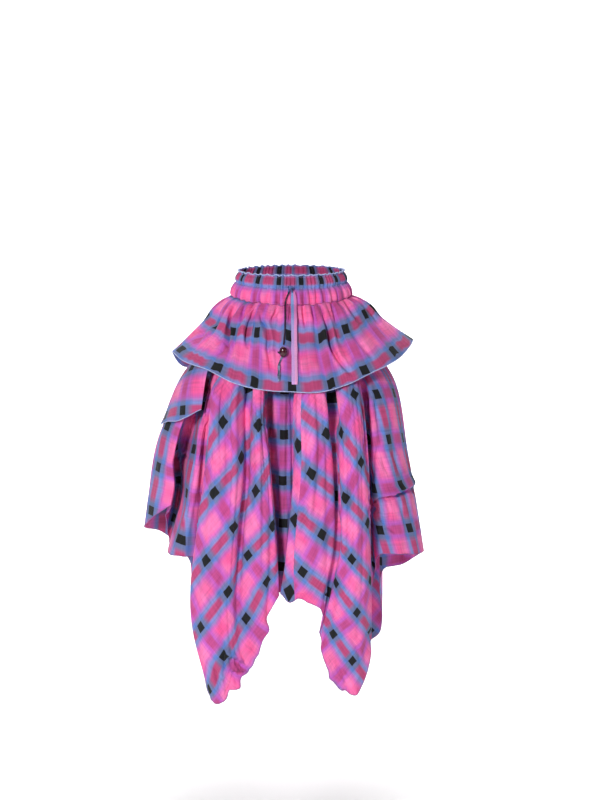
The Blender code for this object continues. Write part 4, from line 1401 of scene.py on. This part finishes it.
def makeTail(material):
    # a crumpled end of tape under the bead
    line = layOver(drawstring["tail"], drawstring["tailWide"] / 2, drawstring["tailThick"] / 2,
                   *drawstring["tailPoints"])
    part = np.linspace(0, 1, len(line))
    half, crumple, beat, more = drawstring["tailHalf"]
    wide = (half + crumple * np.sin(part * beat) ** 2 + more * part) * mm
    lean, beat = drawstring["tailLean"]
    lean = lean * np.sin(part * beat)[:, None]
    across, out = (wide[:, None, None] * circle(drawstring["sides"])).transpose(2, 0, 1)
    out = out * drawstring["tailFlat"]
    profile = np.stack([across * np.cos(lean) - out * np.sin(lean),
                        across * np.sin(lean) + out * np.cos(lean)], axis=-1)
    return sweep("cord_tail", line, profile, material)


def makeTie():
    line = layOver(drawstring["tie"], drawstring["tieWide"] / 2, drawstring["tieThick"],
                   *drawstring["tiePoints"])
    part = np.linspace(0, 1, len(line))
    neck, whole = drawstring["tieNeck"]
    neck = neck + (1 - neck) * easeBetween(part, 0.0, whole)
    crumple = 1
    for share, beat, start in drawstring["tieCrumples"]:
        crumple = crumple + share * np.sin(part * beat + start)
    halfWide = drawstring["tieWide"] / 2 * neck * crumple
    size = np.stack([halfWide, np.full_like(part, drawstring["tieThick"])], axis=-1)
    profile = size[:, None] * np.array(drawstring["tieSection"])
    return sweep("tie_right", line, profile, makeTieCotton())


def makeKnot(material):
    # two turns of cord round the tie's neck
    x, z = (value * mm for value in drawstring["knot"])
    y = frontAround(x, z, *drawstring["knotReach"]) - drawstring["knotOff"]
    count, sides = drawstring["knotPoints"]
    line = smoothLine(np.array(drawstring["knotLoops"]) * mm + (x, y, z), count)
    profile = twisted(count, sides, drawstring["knotThick"] / 2, *drawstring["knotTwist"])
    return sweep("drawstring_half_knot", line, profile, material)


maroonCord = makeThread("maroon_cord")
leftCord = makeLeftCord(maroonCord)
bead, beadEnd = makeBead(maroonCord)
tail = makeTail(makeThread("slate_cord"))
flatTie = makeTie()
knot = makeKnot(makeThread("navy_cord"))
for piece, node in ((leftCord, "drawstring_left"), (bead, "drawstring_bead"),
                    (tail, "drawstring_tail"), (flatTie, "drawstring_right"),
                    (knot, "drawstring_knot")):
    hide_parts(node)


checkCotton = makeCheckCotton()
hemThread = makeThread("hem_thread")
lowerThread = makeThread("lower_hem_thread")
seamThread = makeThread("seam_thread")


def dress(node, grid, lays):
    piece = makeShell(node + "_cloth", grid, lays, checkCotton)
    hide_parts(node)
    return piece


def layRound(gridTurns, seenTurns, numbers, repeatTurn):
    # the place in the check round a ring: through the seen squares, and evenly beyond them
    order = np.argsort(seenTurns)
    seenTurns, numbers = np.array(seenTurns)[order], np.array(numbers, float)[order]
    beyond = np.arange(1, 15)
    allTurns, allNumbers = (
        np.concatenate([seen[0] - beyond[::-1] * step, seen, seen[-1] + beyond * step])
        for seen, step in ((seenTurns, repeatTurn), (numbers, 1)))
    return np.interp(gridTurns, allTurns, allNumbers) * cloth["repeat"]


print("waistband")
found = [pointSeen(bandGrid, square) for square in bandSquares]
around = layRound(bandTurns, [bandTurns[c] for _, c in found],
                  [square.u for square in bandSquares], 360 / band["squaresRound"])
down = runAlong(bandGrid[:, band["columns"] // 2])
down = down - down[int(round(np.mean([r for r, _ in found])))]
lay = np.stack(np.broadcast_arrays(around[None, :], down[:, None]), axis=-1)
waistband = dress("waistband", bandGrid, [(0, band["columns"], lay)])
bandOut = normalsOf(bandGrid)
trims = [makeHem("waistband_edge", bandGrid[::-1], hemThread)]
for name, share in band["stitches"]:
    row = int(round(share * (band["rows"] - 1)))
    trims.append(makeStitches(name, bandGrid[row], bandOut[row], seamThread))


def layPeplumFront(grid, gridTurns, down):
    # the two rows of black squares fix the check round the peplum and down it
    found = [(*pointSeen(grid, square), square) for square in peplumSquares]
    rows, around, levels = [], [], []
    for v, apart in enumerate(peplum["squaresApart"]):
        seen = sorted((gridTurns[c], s.u, r, down[r, c]) for r, c, s in found if s.v == v)
        seenTurns, numbers, seenRows, depths = np.array(seen).T
        rows.append(seenRows.mean() / (len(peplumShares) - 1))
        around.append(layRound(gridTurns, seenTurns, numbers, apart))
        levels.append(np.interp(gridTurns, seenTurns, depths))
    t = np.clip((peplumShares - rows[0]) / (rows[1] - rows[0]), 0, 1)[:, None]
    across = around[0] * (1 - t) + around[1] * t
    return across, (down - levels[0]) / (levels[1] - levels[0]) * cloth["repeat"]


print("peplum")
for name, firstTurn, lastTurn in (("peplum_front", -90, 90), ("peplum_back", 90, 270)):
    first, last = (
        round((turn + 180) * peplum["columns"] / 360) for turn in (firstTurn, lastTurn))
    grid = cutPiece(peplumRing, first, last, peplum["seamGap"])
    gridTurns = np.linspace(firstTurn, lastTurn, grid.shape[1])
    down = runAlong(cutPiece(smoothPeplum, first, last, peplum["seamGap"]))
    if name == "peplum_front":
        across, drop = layPeplumFront(grid, gridTurns, down)
    else:
        across = (gridTurns - peplum["backTurn"]) / peplum["backApart"] * cloth["repeat"]
        drop = down - down[-1] + peplum["backSquares"]
    lay = np.stack([np.broadcast_to(across, down.shape), drop], axis=-1)
    piece = dress(name, grid, [(0, grid.shape[1] - 1, lay)])
    hem = makeHem(name + "_hem", grid, hemThread)

print("lower skirt")
smoothRing = skirtRing()
ring = pressRipples(smoothRing)
ring = pressCreases(ring, frontCreases)
ring = pressCreases(ring, backCreases, fromBehind=True)
ring = nudgeCloth(ring, frontNudges, closed=True)
samples = lowerSkirt["samples"]
start = 0
for name, panel in skirtPanels.items():
    end = start + len(panel) * samples
    grid, smooth = (
        cutPiece(whole, start, end, lowerSkirt["seamGap"]) for whole in (ring, smoothRing))
    lays = []
    for part in checkRegions:
        if part.panel == name:
            first, last = round(part.first * samples), round(part.last * samples)
            flat = pressFlat(smooth[:, first:last + 1])
            laid = layCheck(grid[:, first:last + 1], flat, part.grain, part.shift, part.squares)
            lays.append((first, last, laid))
    piece = dress(name, grid, lays)
    hem = makeHem(name + "_hem", grid, lowerThread, 1)
    start = end

print("hip flap")
grid = nudgeCloth(flapGrid(ring), flapNudges, closed=False)
lay = layCheck(grid, pressFlat(grid), hipFlap["grain"], (0, 0), flapSquares)
flap = dress("hip_flap", grid, [(0, grid.shape[1] - 1, lay)])
makeHem("hip_flap_hem", grid, hemThread, 1)

# backdrop and light

studio = {
    "floor": -1.19,
    "pale": (0.92, 0.92, 0.92, 1),
    "grain": (0.8924, 0.8924, 0.8924, 1),
    "sweep": ((-9, 0), (4, 0), (6.2, 0.35), (7.6, 1.6), (8.2, 3.6), (8.4, 9)),   # y and height
    "steps": 80,
    "halfWidth": 14,
    "air": 0.05,
    "glow": 0.24,
    # name, place, aim, size, power
    "lamps": (
        ("key", (-1.3, -4.2, 1.3), (0, 0, -0.45), 0.45, 136),
        ("left", (-3.4, -0.8, 1.2), (0, 0, -0.45), 0.9, 8),
        ("right", (3.2, -2.4, 0.8), (0, 0, -0.45), 1.1, 9),
        ("back", (0.6, 3.4, 2.4), (0, 0, -0.45), 1.6, 30),
        ("backdrop", (0, 1.8, 3.2), (0, 7.4, 1.2), 3.0, 560),
        ("floor", (0, 2.6, 3.4), (0, 2.6, -1.2), 3.0, 170),
    ),
}


def makeBackdrop():
    count = studio["steps"]
    line = smoothLine([(0, y, studio["floor"] + height) for y, height in studio["sweep"]], count)
    sides = [line + np.array([x * studio["halfWidth"], 0, 0]) for x in (-1, 1)]
    faces = [(k, k + count, k + count + 1, k + 1) for k in range(count - 1)]
    mesh = meshOf("backdrop", sides, faces)
    mesh.shade_smooth()
    nodes = NodeSet("pale_floor")
    shade = nodes.blend(nodes.grain(2.0), studio["pale"], studio["grain"])
    mesh.materials.append(nodes.finish(
        shade, Roughness=0.9, Emission_Color=(1, 1, 1, 1), Emission_Strength=studio["glow"]))
    floor = bpy.data.objects.new("backdrop", mesh)
    bpy.context.scene.collection.objects.link(floor)


def makeLight():
    world = bpy.data.worlds.new("studio")
    world.use_nodes = True
    background = world.node_tree.nodes["Background"]
    background.inputs["Color"].default_value = (1, 1, 1, 1)
    background.inputs["Strength"].default_value = studio["air"]
    bpy.context.scene.world = world
    for name, place, towards, size, power in studio["lamps"]:
        light = bpy.data.lights.new(name, "AREA")
        light.size = size
        light.energy = power
        lamp = bpy.data.objects.new(name, light)
        lamp.location = place
        aim = Vector(towards) - Vector(place)
        lamp.rotation_euler = aim.to_track_quat("-Z", "Y").to_euler()
        bpy.context.scene.collection.objects.link(lamp)


print("studio")
makeBackdrop()
makeLight()
bpy.context.scene.view_settings.view_transform = "Standard"
